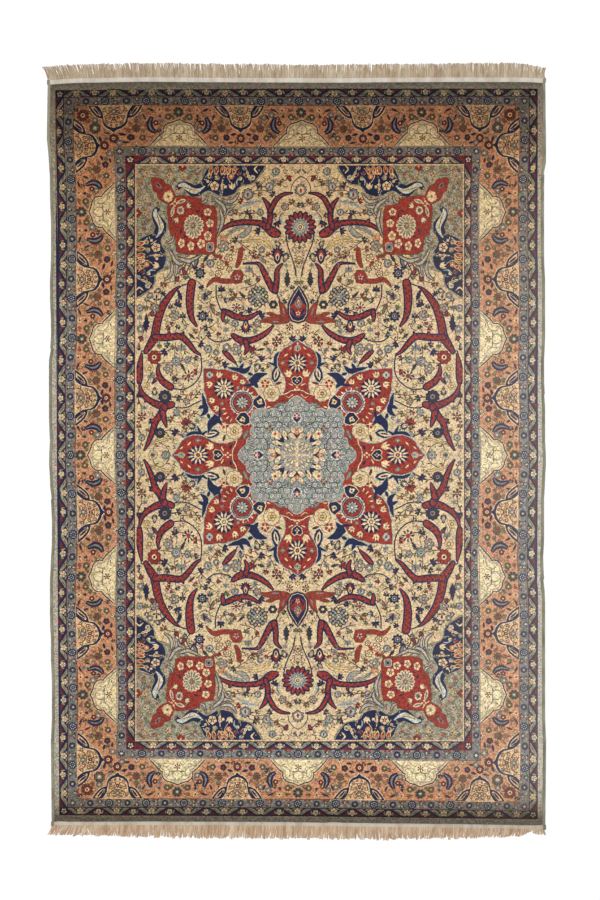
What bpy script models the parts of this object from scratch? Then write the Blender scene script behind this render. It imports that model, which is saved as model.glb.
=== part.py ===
"""A hand-knotted wool rug lying flat: one slab of knotted pile, an overcast wool binding down
each side, and at each end a flat-woven cotton band whose warps run on as a loose fringe.

+Y runs along the rug, from the lower fringe to the upper one, and +X across it. The rug lies on
the plane z = 0, with the origin under the middle of its bounding box."""

import bisect
import math
import random
from collections import namedtuple

import bmesh
import bpy
from mathutils import Vector

# Driving sizes, in metres
RUG_WIDTH = 1.980
PILE_LENGTH = 2.960
PILE_THICKNESS = 0.009
PILE_EDGE_ROUND = 0.003
BINDING_WIDTH = 0.012
BINDING_HEIGHT = 0.0078
BAND_WIDTH = 0.018
BAND_THICKNESS = 0.0026
BINDING_SHORT = 0.001
GAP = 0.0003

# The fringe: locks of warp ends, each a flat four-sided strand that lies on the floor
LOCKS_PER_END = 150
LOCK_ROOT_WIDTH = 0.0104
LOCK_MIDDLE_WIDTH = 0.0098
LOCK_TIP_WIDTH = 0.0062
LOCK_TIP_THICKNESS = 0.0018
LOCK_SWAY = 0.0014
LOCK_UNEVENNESS = 0.0030

# Steps along the rug's sides and along its ends
SIDE_STEPS = 64
END_STEPS = 32

WOOL_GREY_GREEN = (0.185, 0.170, 0.125, 1.0)
WOOL_PILE = (0.36, 0.25, 0.15, 1.0)
COTTON_WARP = (0.62, 0.50, 0.36, 1.0)

# How far each side bows out from its straight line at this height along the rug
SideBow = namedtuple("SideBow", "along left right")
SIDE_BOWS = [
    SideBow(-1.480, -0.006, 0.006),
    SideBow(-1.150, -0.006, 0.006),
    SideBow(-1.070, -0.010, 0.002),
    SideBow(-0.910, -0.010, 0.002),
    SideBow(-0.830, -0.006, 0.002),
    SideBow(-0.750, -0.006, 0.002),
    SideBow(-0.670, -0.002, 0.002),
    SideBow(-0.590, -0.002, 0.002),
    SideBow(-0.510, -0.002, -0.002),
    SideBow(-0.430, -0.006, -0.006),
    SideBow(-0.350, -0.010, -0.002),
    SideBow(-0.270, -0.010, -0.002),
    SideBow(-0.190, -0.006, -0.002),
    SideBow(-0.110, -0.002, 0.002),
    SideBow(-0.030, 0.002, 0.006),
    SideBow(0.050, -0.002, 0.002),
    SideBow(0.130, 0.002, 0.002),
    SideBow(0.210, 0.002, 0.002),
    SideBow(0.290, 0.002, -0.002),
    SideBow(0.370, 0.002, -0.002),
    SideBow(0.450, -0.006, 0.002),
    SideBow(0.530, -0.006, 0.002),
    SideBow(0.610, -0.002, 0.002),
    SideBow(0.690, -0.002, 0.002),
    SideBow(0.770, -0.006, -0.002),
    SideBow(0.930, -0.006, -0.002),
    SideBow(1.010, -0.002, -0.002),
    SideBow(1.090, -0.002, -0.002),
    SideBow(1.170, 0.002, 0.006),
    SideBow(1.250, 0.010, 0.006),
    SideBow(1.480, 0.010, 0.006),
]

# How far each end of the pile bows out at this place across the rug
EndBow = namedtuple("EndBow", "across upper lower")
END_BOWS = [
    EndBow(-0.990, -0.007, -0.003),
    EndBow(-0.940, -0.006, -0.004),
    EndBow(-0.860, -0.002, -0.004),
    EndBow(-0.600, 0.002, -0.005),
    EndBow(-0.350, 0.000, -0.004),
    EndBow(-0.100, -0.001, -0.003),
    EndBow(0.150, -0.002, 0.000),
    EndBow(0.400, 0.000, 0.003),
    EndBow(0.600, 0.001, 0.005),
    EndBow(0.800, 0.001, 0.008),
    EndBow(0.990, 0.000, 0.012),
]

# How the locks lie at this place across the rug: sideways lean of the tip, and length
FringeLie = namedtuple("FringeLie", "across upper_lean upper_length lower_lean lower_length")
FRINGE_LIES = [
    FringeLie(-0.990, -0.022, 0.050, -0.020, 0.036),
    FringeLie(-0.930, -0.010, 0.055, -0.018, 0.040),
    FringeLie(-0.800, -0.003, 0.058, -0.010, 0.042),
    FringeLie(-0.500, -0.003, 0.059, -0.004, 0.048),
    FringeLie(-0.250, -0.002, 0.058, -0.006, 0.050),
    FringeLie(0.000, 0.001, 0.056, -0.004, 0.052),
    FringeLie(0.300, 0.000, 0.057, 0.002, 0.050),
    FringeLie(0.600, 0.001, 0.058, -0.003, 0.044),
    FringeLie(0.800, 0.001, 0.060, -0.010, 0.034),
    FringeLie(0.890, 0.001, 0.060, -0.010, 0.030),
    FringeLie(0.915, 0.002, 0.056, -0.012, 0.024),
    FringeLie(0.935, 0.002, 0.054, -0.006, 0.010),
    FringeLie(0.960, 0.003, 0.050, 0.002, 0.020),
    FringeLie(0.990, 0.014, 0.042, 0.012, 0.022),
]


def read_between(table, place, column):
    """The value of a table's column at this place, eased between the rows on either side."""
    places = [row[0] for row in table]
    after = min(max(bisect.bisect_left(places, place), 1), len(table) - 1)
    low, high = table[after - 1], table[after]
    share = min(max((place - low[0]) / (high[0] - low[0]), 0.0), 1.0)
    eased = share * share * (3 - 2 * share)
    before, behind = getattr(low, column), getattr(high, column)
    return before + (behind - before) * eased


def side_x(along, side, inset=0.0):
    """The x of the rug's outer edge at this height; side is -1 for the left and 1 for the right."""
    bow = read_between(SIDE_BOWS, along, "left" if side < 0 else "right")
    return side * (RUG_WIDTH / 2 + bow - inset)


def end_y(across, end, beyond=0.0):
    """The y of the pile's end at this place; end is 1 for the upper end and -1 for the lower."""
    bow = read_between(END_BOWS, across, "upper" if end > 0 else "lower")
    return end * (PILE_LENGTH / 2 + bow + beyond)


def spaced(low, high, steps):
    """The places from low to high in equal steps, both ends included."""
    return [low + (high - low) * i / steps for i in range(steps + 1)]


def material(name, colour, roughness):
    made = bpy.data.materials.new(name)
    made.use_nodes = True
    shader = made.node_tree.nodes["Principled BSDF"]
    shader.inputs["Base Color"].default_value = colour
    shader.inputs["Roughness"].default_value = roughness
    return made


def add_object(name, form, finish, parent):
    """Turns a bmesh into a named object of this finish, in the scene."""
    bmesh.ops.recalc_face_normals(form, faces=form.faces)
    mesh = bpy.data.meshes.new(name)
    form.to_mesh(mesh)
    form.free()
    mesh.materials.append(finish)
    made = bpy.data.objects.new(name, mesh)
    bpy.context.scene.collection.objects.link(made)
    made.parent = parent
    return made


def extruded(outline, height):
    """A bmesh slab over this outline of (x, y) points, from the floor up to height."""
    form = bmesh.new()
    base = form.faces.new([form.verts.new((x, y, 0.0)) for x, y in outline])
    raised = bmesh.ops.extrude_face_region(form, geom=[base])
    lifted = [v for v in raised["geom"] if isinstance(v, bmesh.types.BMVert)]
    bmesh.ops.translate(form, verts=lifted, vec=Vector((0.0, 0.0, height)))
    return form


def side_stations():
    """The heights along the rug, short of its corners, at which every side line is set out."""
    return spaced(-PILE_LENGTH / 2, PILE_LENGTH / 2, SIDE_STEPS)[1:-1]


def end_line(end, inset, beyond, steps):
    """Points across one end of the rug from left to right, this far in from the rug's sides."""
    corner_y = end * PILE_LENGTH / 2
    across = spaced(side_x(corner_y, -1, inset), side_x(corner_y, 1, inset), steps)
    return [(x, end_y(x, end, beyond)) for x in across]


def pile_outline():
    """The knotted pile's outline, which stops a gap short of the side bindings."""
    inset = BINDING_WIDTH + GAP
    lower = end_line(-1, inset, 0.0, END_STEPS)
    upper = end_line(1, inset, 0.0, END_STEPS)
    right = [(side_x(y, 1, inset), y) for y in side_stations()]
    left = [(side_x(y, -1, inset), y) for y in side_stations()]
    return lower + right + upper[::-1] + left[::-1]


def make_pile(finish, parent):
    """The slab of knotted pile, with its top edge worn round."""
    pile = add_object("pile", extruded(pile_outline(), PILE_THICKNESS), finish, parent)
    weight = pile.data.attributes.new("bevel_weight_edge", "FLOAT", "EDGE")
    for edge in pile.data.edges:
        ends = [pile.data.vertices[i].co.z for i in edge.vertices]
        weight.data[edge.index].value = float(min(ends) > PILE_THICKNESS / 2)
    rounding = pile.modifiers.new("worn_edge", "BEVEL")
    rounding.width = PILE_EDGE_ROUND
    rounding.segments = 2
    rounding.limit_method = "WEIGHT"
    return pile


def binding_profile():
    """The binding's section as (out, up) points: flat below, and round over the wrapped yarn."""
    half, foot = BINDING_WIDTH / 2, BINDING_HEIGHT * 0.35
    arch = [math.pi * i / 6 for i in range(7)]
    crown = [
        (half * math.cos(turn), foot + (BINDING_HEIGHT - foot) * math.sin(turn))
        for turn in arch
    ]
    return [(half * 0.8, 0.0), *crown, (-half * 0.8, 0.0)]


def make_binding(name, side, finish, parent):
    """The overcast side binding, a wrapped cord that follows the rug's bowed side."""
    form = bmesh.new()
    ends = [end_y(side * RUG_WIDTH / 2, end, BAND_WIDTH - BINDING_SHORT) for end in (-1, 1)]
    rings = []
    for y in [ends[0], *side_stations(), ends[1]]:
        middle = side_x(y, side, BINDING_WIDTH / 2)
        rings.append([form.verts.new((middle + out, y, up)) for out, up in binding_profile()])
    for before, after in zip(rings, rings[1:]):
        for i, vert in enumerate(before):
            beside = (i + 1) % len(before)
            form.faces.new([vert, before[beside], after[beside], after[i]])
    form.faces.new(rings[0])
    form.faces.new(rings[-1])
    binding = add_object(name, form, finish, parent)
    binding.data.shade_smooth()
    return binding


def lock_outline(root_x, end, column, chance):
    """One lock's outline in plan, from one side of its root round the tip to the other."""
    lean = read_between(FRINGE_LIES, root_x, column + "_lean")
    length = read_between(FRINGE_LIES, root_x, column + "_length")
    lean += chance.uniform(-LOCK_SWAY, LOCK_SWAY)
    length += chance.uniform(-LOCK_UNEVENNESS, LOCK_UNEVENNESS)
    root_y = end_y(root_x, end, BAND_WIDTH)
    middle = (root_x + lean * 0.35, root_y + end * length * 0.5, LOCK_MIDDLE_WIDTH)
    tip = (root_x + lean, root_y + end * length, LOCK_TIP_WIDTH)
    root = (root_x, root_y, LOCK_ROOT_WIDTH)
    stations = [root, middle, tip]
    left = [(x - width / 2, y) for x, y, width in stations]
    right = [(x + width / 2, y) for x, y, width in reversed(stations)]
    return left + right


def fringe_outline(end, column):
    """The flat-woven band with its locks, as one comb-shaped outline."""
    chance = random.Random(end)
    inner = end_line(end, BINDING_WIDTH + GAP, GAP, END_STEPS)
    start, stop = inner[0][0], inner[-1][0]
    pitch = (stop - start) / LOCKS_PER_END
    comb = [(start, end_y(start, end, BAND_WIDTH))]
    for i in range(LOCKS_PER_END):
        comb += lock_outline(start + (i + 0.5) * pitch, end, column, chance)
    comb.append((stop, end_y(stop, end, BAND_WIDTH)))
    return comb + inner[::-1]


def make_fringe(name, end, column, finish, parent):
    """The end band fused to its locks, which thin out towards their tips and lie on the floor."""
    form = extruded(fringe_outline(end, column), BAND_THICKNESS)
    thinning = BAND_THICKNESS - LOCK_TIP_THICKNESS
    reach = max(row.upper_length for row in FRINGE_LIES)
    for vert in form.verts:
        beyond = end * (vert.co.y - end_y(vert.co.x, end, BAND_WIDTH))
        if vert.co.z > 0 and beyond > 0:
            vert.co.z -= thinning * min(beyond / reach, 1.0)
    tops = [f for f in form.faces if len(f.verts) > 4]
    bmesh.ops.triangulate(form, faces=tops, ngon_method="EAR_CLIP")
    return add_object(name, form, finish, parent)


def centre_on_floor(pieces, holder):
    """Moves every piece's mesh so that the origin lies under the middle of the bounding box."""
    xs = [v.co.x for piece in pieces for v in piece.data.vertices]
    ys = [v.co.y for piece in pieces for v in piece.data.vertices]
    holder.location = (-(min(xs) + max(xs)) / 2, -(min(ys) + max(ys)) / 2, 0.0)


def main():
    for old in list(bpy.data.objects):
        bpy.data.objects.remove(old)
    rug = bpy.data.objects.new("rug", None)
    bpy.context.scene.collection.objects.link(rug)
    pile_wool = material("pile_wool", WOOL_PILE, 0.9)
    binding_wool = material("binding_wool", WOOL_GREY_GREEN, 0.9)
    warp_cotton = material("warp_cotton", COTTON_WARP, 0.85)
    pieces = [
        make_pile(pile_wool, rug),
        make_binding("binding_left", -1, binding_wool, rug),
        make_binding("binding_right", 1, binding_wool, rug),
        make_fringe("fringe_upper", 1, "upper", warp_cotton, rug),
        make_fringe("fringe_lower", -1, "lower", warp_cotton, rug),
    ]
    centre_on_floor(pieces, rug)


main()
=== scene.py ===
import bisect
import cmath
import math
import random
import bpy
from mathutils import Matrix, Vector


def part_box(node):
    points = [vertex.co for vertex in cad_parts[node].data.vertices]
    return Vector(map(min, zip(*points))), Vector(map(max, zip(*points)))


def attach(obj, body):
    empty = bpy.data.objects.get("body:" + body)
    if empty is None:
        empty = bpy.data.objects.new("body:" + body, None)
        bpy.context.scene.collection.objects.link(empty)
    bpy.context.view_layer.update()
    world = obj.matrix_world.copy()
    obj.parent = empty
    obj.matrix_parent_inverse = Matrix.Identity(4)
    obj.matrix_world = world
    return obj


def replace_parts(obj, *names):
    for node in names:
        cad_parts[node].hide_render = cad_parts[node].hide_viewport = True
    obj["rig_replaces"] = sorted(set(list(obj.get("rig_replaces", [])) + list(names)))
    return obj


bl_info = {
    "name": "Persian Rug",
    "version": (1, 0, 0),
    "blender": (4, 5, 0),
    "location": "3D View > Sidebar > Rug",
    "description": "Builds a hand-knotted rug with its drawn design, side bindings and fringes",
    "category": "Object",
}

from collections import namedtuple

import bpy
import numpy as np
from mathutils import Vector
from mathutils.bvhtree import BVHTree
from mathutils.geometry import delaunay_2d_cdt

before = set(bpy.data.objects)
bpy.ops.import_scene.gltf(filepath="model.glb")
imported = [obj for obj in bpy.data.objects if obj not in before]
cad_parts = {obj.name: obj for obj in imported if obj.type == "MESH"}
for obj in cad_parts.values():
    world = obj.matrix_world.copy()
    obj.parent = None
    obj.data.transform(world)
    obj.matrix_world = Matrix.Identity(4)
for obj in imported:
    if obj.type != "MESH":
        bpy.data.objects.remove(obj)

# Real sizes, in metres, of what isn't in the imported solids
GAP = 0.0003
BINDING_WIDTH = 0.012
BAND_WIDTHS = {1: 0.022, -1: 0.018}
KNOT_PITCH = 0.0022

# The design is drawn on squared paper: a square is 4 mm, a place is a complex number of squares
# from the rug's middle, across plus 1j times along, and a quarter of it is mirrored both ways
SQUARE = 0.004
HALF_ACROSS = 247.75
HALF_ALONG = 370.0
BINDING_SQUARES = (BINDING_WIDTH + GAP) / SQUARE

Yarn = namedtuple("Yarn", "name red green blue")
YARNS = [
    Yarn("navy", 22, 32, 66),
    Yarn("red", 140, 48, 39),
    Yarn("crimson", 100, 34, 36),
    Yarn("cream", 222, 193, 151),
    Yarn("gold", 211, 184, 144),
    Yarn("straw", 206, 178, 128),
    Yarn("salmon", 195, 138, 102),
    Yarn("grey_blue", 120, 119, 114),
    Yarn("pale_blue", 164, 170, 160),
    Yarn("mist", 146, 145, 135),
    Yarn("sage", 146, 142, 118),
    Yarn("brown", 98, 68, 52),
    Yarn("slate", 46, 46, 54),
    Yarn("olive", 92, 88, 66),
    Yarn("edge", 181, 173, 157),
    Yarn("madder", 106, 34, 34),
    Yarn("ivory", 236, 214, 170),
    Yarn("peach", 220, 178, 136),
    Yarn("chalk", 194, 196, 186),
]

# The bands from the edge inwards: how wide each is at the sides and at the ends, and its ground
Band = namedtuple("Band", "name side end ground")
BANDS = [
    Band("edge", 7.75, 6.0, "edge"),
    Band("outer_line", 0.8, 0.7, "navy"),
    Band("outer_vine", 7.7, 7.4, "madder"),
    Band("outer_rule", 0.6, 0.6, "crimson"),
    Band("outer_guard", 8.9, 8.2, "grey_blue"),
    Band("main_rule", 0.6, 0.6, "brown"),
    Band("main", 39.0, 40.8, "salmon"),
    Band("main_edge", 0.6, 0.6, "brown"),
    Band("inner_guard", 8.7, 8.6, "grey_blue"),
    Band("inner_rule", 0.6, 0.6, "crimson"),
    Band("inner_vine", 7.4, 7.2, "madder"),
    Band("field_rule", 0.8, 0.8, "crimson"),
    Band("field_line", 1.2, 1.2, "gold"),
]

# How far the finished weaving wanders from the drawing, in squares
AlongDrift = namedtuple("AlongDrift", "along down middle")
ALONG_DRIFTS = [
    AlongDrift(-370, 0.0, 1.0),
    AlongDrift(-310, 1.0, 1.0),
    AlongDrift(-241, 1.5, 0.6),
    AlongDrift(-174, 6.5, 0.6),
    AlongDrift(-116, 8.5, 0.4),
    AlongDrift(-57, 3.0, -0.3),
    AlongDrift(57, 3.0, -0.3),
    AlongDrift(116, 3.0, 0.4),
    AlongDrift(174, 2.5, 1.6),
    AlongDrift(241, 1.0, 3.2),
    AlongDrift(310, 0.0, 5.0),
    AlongDrift(370, 0.0, 4.0),
]
FIELD_DRIFT = 2.4

# How the fringe lies at this place across the rug: sideways lean of its tip, and its length
FringeLie = namedtuple("FringeLie", "across upper_lean upper_length lower_lean lower_length")
FRINGE_LIES = [
    FringeLie(-0.990, -0.026, 0.054, -0.020, 0.036),
    FringeLie(-0.930, -0.021, 0.056, -0.018, 0.040),
    FringeLie(-0.800, -0.011, 0.058, -0.010, 0.042),
    FringeLie(-0.500, -0.003, 0.059, -0.004, 0.048),
    FringeLie(-0.250, -0.002, 0.058, -0.006, 0.050),
    FringeLie(0.000, 0.001, 0.056, -0.004, 0.052),
    FringeLie(0.300, 0.000, 0.057, 0.002, 0.050),
    FringeLie(0.600, 0.001, 0.058, -0.003, 0.044),
    FringeLie(0.800, 0.001, 0.060, -0.010, 0.034),
    FringeLie(0.890, 0.001, 0.060, -0.010, 0.030),
    FringeLie(0.915, 0.002, 0.056, -0.012, 0.024),
    FringeLie(0.935, 0.002, 0.054, -0.006, 0.010),
    FringeLie(0.960, 0.003, 0.050, 0.002, 0.020),
    FringeLie(0.990, 0.014, 0.042, 0.012, 0.022),
]


def eased(table, place, column):
    """The value of a table's column at this place, eased between the rows on either side."""
    places = [row[0] for row in table]
    after = min(max(bisect.bisect_left(places, place), 1), len(table) - 1)
    low, high = table[after - 1], table[after]
    share = min(max((place - low[0]) / (high[0] - low[0]), 0.0), 1.0)
    share = share * share * (3 - 2 * share)
    return getattr(low, column) * (1 - share) + getattr(high, column) * share


# Drawing: a motif is a list of patches, each over the ones before it

Patch = namedtuple("Patch", "yarn points")


def points_of(pairs):
    return [complex(*pair) for pair in pairs]


def placed(motif, at=0, turn=0.0, size=1.0):
    """The motif turned by this many degrees, sized and moved."""
    by = size * cmath.exp(1j * math.radians(turn))
    return [Patch(yarn, [p * by + at for p in points]) for yarn, points in motif]


def mirrored_across(motif):
    return [Patch(yarn, [-p.conjugate() for p in points]) for yarn, points in motif]


def mirrored_along(motif):
    return [Patch(yarn, [p.conjugate() for p in points]) for yarn, points in motif]


def mirrored_askew(motif, offset):
    """The motif mirrored over the slanting line on which across is along plus half the offset."""
    return [
        Patch(yarn, [complex(p.imag + offset, p.real - offset) for p in points])
        for yarn, points in motif
    ]


def both_sides(motif):
    return motif + mirrored_across(motif)


def both_ends(motif):
    return motif + mirrored_along(motif)


def four_fold(motif):
    return both_ends(both_sides(motif))


def spread(motif, at):
    """The motif at this place in every quarter, once where it lies on a middle line."""
    there = placed(motif, at)
    if at.real:
        there = both_sides(there)
    if at.imag:
        there = both_ends(there)
    return there


def circle(radius, sides=8, at=0, turn=0.0):
    start = math.radians(turn)
    return [at + radius * cmath.exp(1j * (start + math.tau * i / sides)) for i in range(sides)]


def smooth(points, steps=3, closed=False):
    """A smooth line through the points, with this many steps between each two of them."""
    count = len(points)
    ends = count if closed else count - 1
    line = []
    for i in range(ends):
        if closed:
            a, b, c, d = (points[(i + k) % count] for k in (-1, 0, 1, 2))
        else:
            a, b, c, d = (points[min(max(i + k, 0), count - 1)] for k in (-1, 0, 1, 2))
        for k in range(steps):
            t = k / steps
            line.append(
                0.5 * (2 * b + (c - a) * t + (2 * a - 5 * b + 4 * c - d) * t * t
                       + (3 * b - a - 3 * c + d) * t ** 3)
            )
    if not closed:
        line.append(points[-1])
    return line


def ribbon(stations, steps=3, grow=0.0):
    """A band along stations of across, along and width, pointed where the width is small."""
    middle = smooth([complex(s[0], s[1]) for s in stations], steps)
    widths = [max(w.real, 0.0) for w in smooth([complex(s[2]) for s in stations], steps)]
    left, right = [], []
    for i, (place, width) in enumerate(zip(middle, widths)):
        ahead = middle[min(i + 1, len(middle) - 1)] - middle[max(i - 1, 0)]
        side = 1j * ahead / max(abs(ahead), 1e-6) * (width / 2 + grow)
        left.append(place + side)
        right.append(place - side)
    return left + right[::-1]


def line(points, width, steps=3):
    """A stem or outline of even width through these places."""
    return ribbon([(p.real, p.imag, width) for p in points], steps)


def signed_area(points):
    around = zip(points, points[1:] + points[:1])
    return sum((a.conjugate() * b).imag for a, b in around) / 2


def grown(points, amount):
    """The closed outline moved outwards by this much."""
    out = -1j if signed_area(points) > 0 else 1j
    count = len(points)
    moved = []
    for i, point in enumerate(points):
        before = point - points[i - 1]
        after = points[(i + 1) % count] - point
        before /= max(abs(before), 1e-6)
        after /= max(abs(after), 1e-6)
        side = before + after
        side /= max(abs(side), 0.6)
        moved.append(point + side * out * amount)
    return moved


def edged(points, fill, edge, width, outside=None, outside_width=0.8):
    """A filled outline with a line of another yarn round it, and maybe one more outside that."""
    made = [Patch(edge, grown(points, width)), Patch(fill, points)]
    if outside:
        made.insert(0, Patch(outside, grown(points, width + outside_width)))
    return made


def symmetric(half):
    """A closed outline from its half, listed from one end of the middle line to the other."""
    there = points_of(half)
    back = [-p.conjugate() for p in reversed(there) if abs(p.real) > 1e-6]
    return there + back


def petal(root, tip, width):
    """A pointed oval from root to tip."""
    run = tip - root
    side = 1j * run / abs(run) * width / 2
    left = [root + run * t + side * w for t, w in ((0.22, 0.7), (0.55, 1.0), (0.82, 0.62))]
    right = [root + run * t - side * w for t, w in ((0.82, 0.62), (0.55, 1.0), (0.22, 0.7))]
    return [root] + left + [tip] + right


def kite(root, tip, width):
    run = tip - root
    side = 1j * run / abs(run) * width / 2
    return [root, root + run * 0.6 + side, tip, root + run * 0.6 - side]


def scalloped(radius, lobes, depth=0.2, turn=0.0, at=0):
    """A round outline of even lobes, with a petal's tip at the angle turn."""
    points = []
    for i in range(lobes):
        for share, reach in ((-0.5, 1 - depth), (-0.24, 0.97), (0.0, 1.0), (0.24, 0.97)):
            angle = math.radians(turn) + math.tau * (i + share) / lobes
            points.append(at + radius * reach * cmath.exp(1j * angle))
    return points


# The same shapes, as patches of one yarn


def oval(yarn, root, tip, width):
    return Patch(yarn, petal(root, tip, width))


def stroke(yarn, points, width, steps=3):
    return Patch(yarn, line(points, width, steps))


def sweep(yarn, stations, steps=3, grow=0.0):
    return Patch(yarn, ribbon(stations, steps, grow))


def disc(yarn, radius, sides=8, at=0):
    return Patch(yarn, circle(radius, sides, at))


def directions(count, turn):
    """Steps of one square from a middle, evenly round it, the first at the angle turn."""
    return [cmath.exp(1j * (math.radians(turn) + math.tau * i / count)) for i in range(count)]


# Small motifs, drawn about their own middle or from their own root upwards


def star_flower(radius, petals, yarn, heart, core=None, turn=90.0, width=0.75):
    """Kite-shaped petals round a heart."""
    spread_of_petal = math.tau * radius * 0.6 / petals * width
    made = []
    for towards in directions(petals, turn):
        made.append(Patch(yarn, kite(towards * radius * 0.22, towards * radius, spread_of_petal)))
    made.append(disc(heart, radius * 0.34, 6))
    if core:
        made.append(disc(core, radius * 0.16, 4))
    return made


def daisy(radius, petals, yarn, edge, heart, core, turn=90.0, inner=0.4):
    """A round flower with long petals inside a scalloped edge."""
    width = math.tau * radius * 0.62 / petals * 0.78
    made = [Patch(edge, scalloped(radius, petals, 0.16, turn))]
    for towards in directions(petals, turn):
        made.append(oval(yarn, towards * radius * inner * 0.8, towards * radius * 0.93, width))
    made.append(disc(heart, radius * inner, 10))
    made.append(disc(core, radius * inner * 0.55, 8))
    return made


def ringed_flower(radius, petals, yarn, edge, heart, edge_width=0.7):
    """A small scalloped flower with an edge line and a heart."""
    made = edged(scalloped(radius, petals, 0.22), yarn, edge, edge_width)
    made.append(disc(heart, radius * 0.36, 6))
    return made


def lotus(size, yarn, edge, heart, petals=5, fan=130.0):
    """A fan of petals that opens upwards from its root."""
    made = []
    angles = [90 + fan * (i / (petals - 1) - 0.5) for i in range(petals)]
    angles.sort(key=lambda a: -abs(a - 90))
    for angle in angles:
        tip = size * cmath.exp(1j * math.radians(angle)) * (1.0 if abs(angle - 90) < 1 else 0.86)
        made.append(oval(edge, 0j, tip * 1.12, size * 0.52))
        made.append(oval(yarn, tip * 0.12, tip, size * 0.32))
    made.append(disc(heart, size * 0.2, 6, at=size * 0.16j))
    return made


def palmette(size, yarn, edge, inner, heart, lobes=7):
    """A lobed fan with a smaller one and a bud inside it."""
    made = []
    for scale, colour in ((1.16, edge), (1.0, yarn), (0.66, inner)):
        fan = []
        for i in range(lobes):
            for share, reach in ((-0.5, 0.8), (-0.2, 1.0), (0.2, 1.0)):
                angle = math.radians(-35 + 250 * (i + 0.5 + share) / lobes)
                fan.append(size * scale * reach * cmath.exp(1j * angle) * (0.86 + 0j))
        fan.append(-size * scale * 0.75j)
        made.append(Patch(colour, [complex(p.real, p.imag * 1.1) for p in fan]))
    made.append(oval(heart, -size * 0.45j, size * 0.42j, size * 0.42))
    return made


def bud(size, yarn, edge, leaf):
    """A closed bud between two small leaves."""
    made = [
        oval(leaf, -0.3j * size, size * (0.7 + 0.35j), size * 0.34),
        oval(leaf, -0.3j * size, size * (-0.7 + 0.35j), size * 0.34),
        oval(edge, -0.35j * size, size * 1.05j, size * 0.8),
        oval(yarn, -0.15j * size, size * 0.8j, size * 0.46),
    ]
    return made


def tulip(size, yarn, edge):
    outline = [0j, -0.42 + 0.3j, -0.5 + 0.95j, -0.2 + 0.62j, 1.12j,
               0.2 + 0.62j, 0.5 + 0.95j, 0.42 + 0.3j]
    return edged([p * size for p in outline], yarn, edge, 0.5)


def sprig(size, yarn, leaves=3, flower=None):
    """A stem with pairs of leaves and maybe a small flower at its tip."""
    made = [stroke(yarn, [-0.6j * size, 0.7j * size], 0.5, 1)]
    for i in range(leaves):
        root = 1j * size * (-0.45 + 0.85 * i / leaves)
        for side in (-1, 1):
            tip = root + size * complex(side * (0.62 - 0.1 * i), 0.36)
            made.append(oval(yarn, root, tip, size * 0.26))
    made.append(oval(flower or yarn, 0.4j * size, 1.05j * size, size * 0.4))
    return made


def feather(stations, teeth, yarn, vein, grow=0.0):
    """A saw-edged leaf along stations of across, along and width."""
    steps = max(1, round(teeth * 2 / (len(stations) - 1)))
    outline = ribbon(stations, steps, grow)
    half = len(outline) // 2
    middle = [(outline[i] + outline[-1 - i]) / 2 for i in range(half)]
    notched = []
    for i, point in enumerate(outline):
        along = i if i < half else len(outline) - 1 - i
        share = 1.0 if along % 2 else 0.55
        notched.append(middle[along] + (point - middle[along]) * share)
    return [Patch(yarn, notched), stroke(vein, middle[1:-1], 0.5, 1)]


def curl(size, yarn, width=0.7, turns=1.15, flip=1):
    """A scroll that winds in on itself."""
    steps = round(9 * turns)
    points = []
    for i in range(steps + 1):
        share = i / steps
        angle = flip * math.tau * turns * share
        points.append(size * (1 - 0.8 * share) * cmath.exp(1j * angle))
    return [stroke(yarn, points, width, 1)]


def arabesque(stations, spots=True, fill="red", edge="navy", edge_width=1.2):
    """A split-leaf arm with round ends and an outline, and dots to both sides of its middle."""
    made = []
    inner = [(a, b, max(w - edge_width * 1.3, 0.1)) for a, b, w in stations]
    made.append(sweep(edge, stations, 3, edge_width * 0.6))
    ends = [s for s in (stations[0], stations[-1]) if s[2] > 2.4]
    for a, b, w in ends:
        made.append(disc(edge, w / 2 + edge_width * 0.6, 10, complex(a, b)))
    made.append(sweep(fill, inner, 3))
    for a, b, w in ends:
        made.append(disc(fill, w / 2 - edge_width * 0.65, 10, complex(a, b)))
    if spots:
        path = evenly([complex(a, b) for a, b, w in stations if w > 3.2], 2.6)
        for i in range(1, len(path) - 1):
            side = 1.25 if i % 2 else -1.25
            ahead = path[i + 1] - path[i - 1]
            ahead /= max(abs(ahead), 1e-6)
            at = path[i] + 1j * ahead * side
            made.append(Patch(edge if i % 3 else "crimson",
                              kite(at - ahead * 1.5, at + ahead * (1.5 + 0.4j * side), 2.0)))
    return made


def evenly(points, pitch):
    """Places this far apart along a smooth line through the points."""
    if len(points) < 2:
        return []
    path = smooth(points, 8)
    places, left = [path[0]], pitch
    for a, b in zip(path, path[1:]):
        length = abs(b - a)
        while length > left:
            a += (b - a) * left / length
            length = abs(b - a)
            left = pitch
            places.append(a)
        left -= length
    return places


def leaves_along(points, pitch, size, yarns):
    """Small pointed leaves to the left and right of a stem."""
    path = evenly(points, pitch)
    made = []
    for i in range(1, len(path) - 1):
        ahead = path[i + 1] - path[i]
        ahead /= max(abs(ahead), 1e-6)
        towards = ahead * cmath.exp(1j * math.radians(52 if i % 2 else -52))
        made.append(Patch(yarns[i % len(yarns)], kite(path[i], path[i] + towards * size, size * 0.4)))
    return made


def leaf_spray(size, yarn, vein=None, leaves=5):
    """Pointed leaves fanned out from the tip of a stem."""
    made = [stroke(yarn, [(-0.5 - 1.5j) * size, -0.8j * size, 0j], 0.7, 2)]
    for i in range(leaves):
        turn = 160 * (i / (leaves - 1) - 0.5)
        reach = size * (1.0 - 0.3 * abs(turn) / 80)
        towards = 1j * cmath.exp(1j * math.radians(turn))
        made.append(Patch(yarn, kite(-0.14j * size, towards * reach, size * 0.38)))
    if vein:
        made.append(Patch(vein, kite(0j, 0.7j * size, size * 0.16)))
    return made


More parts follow.
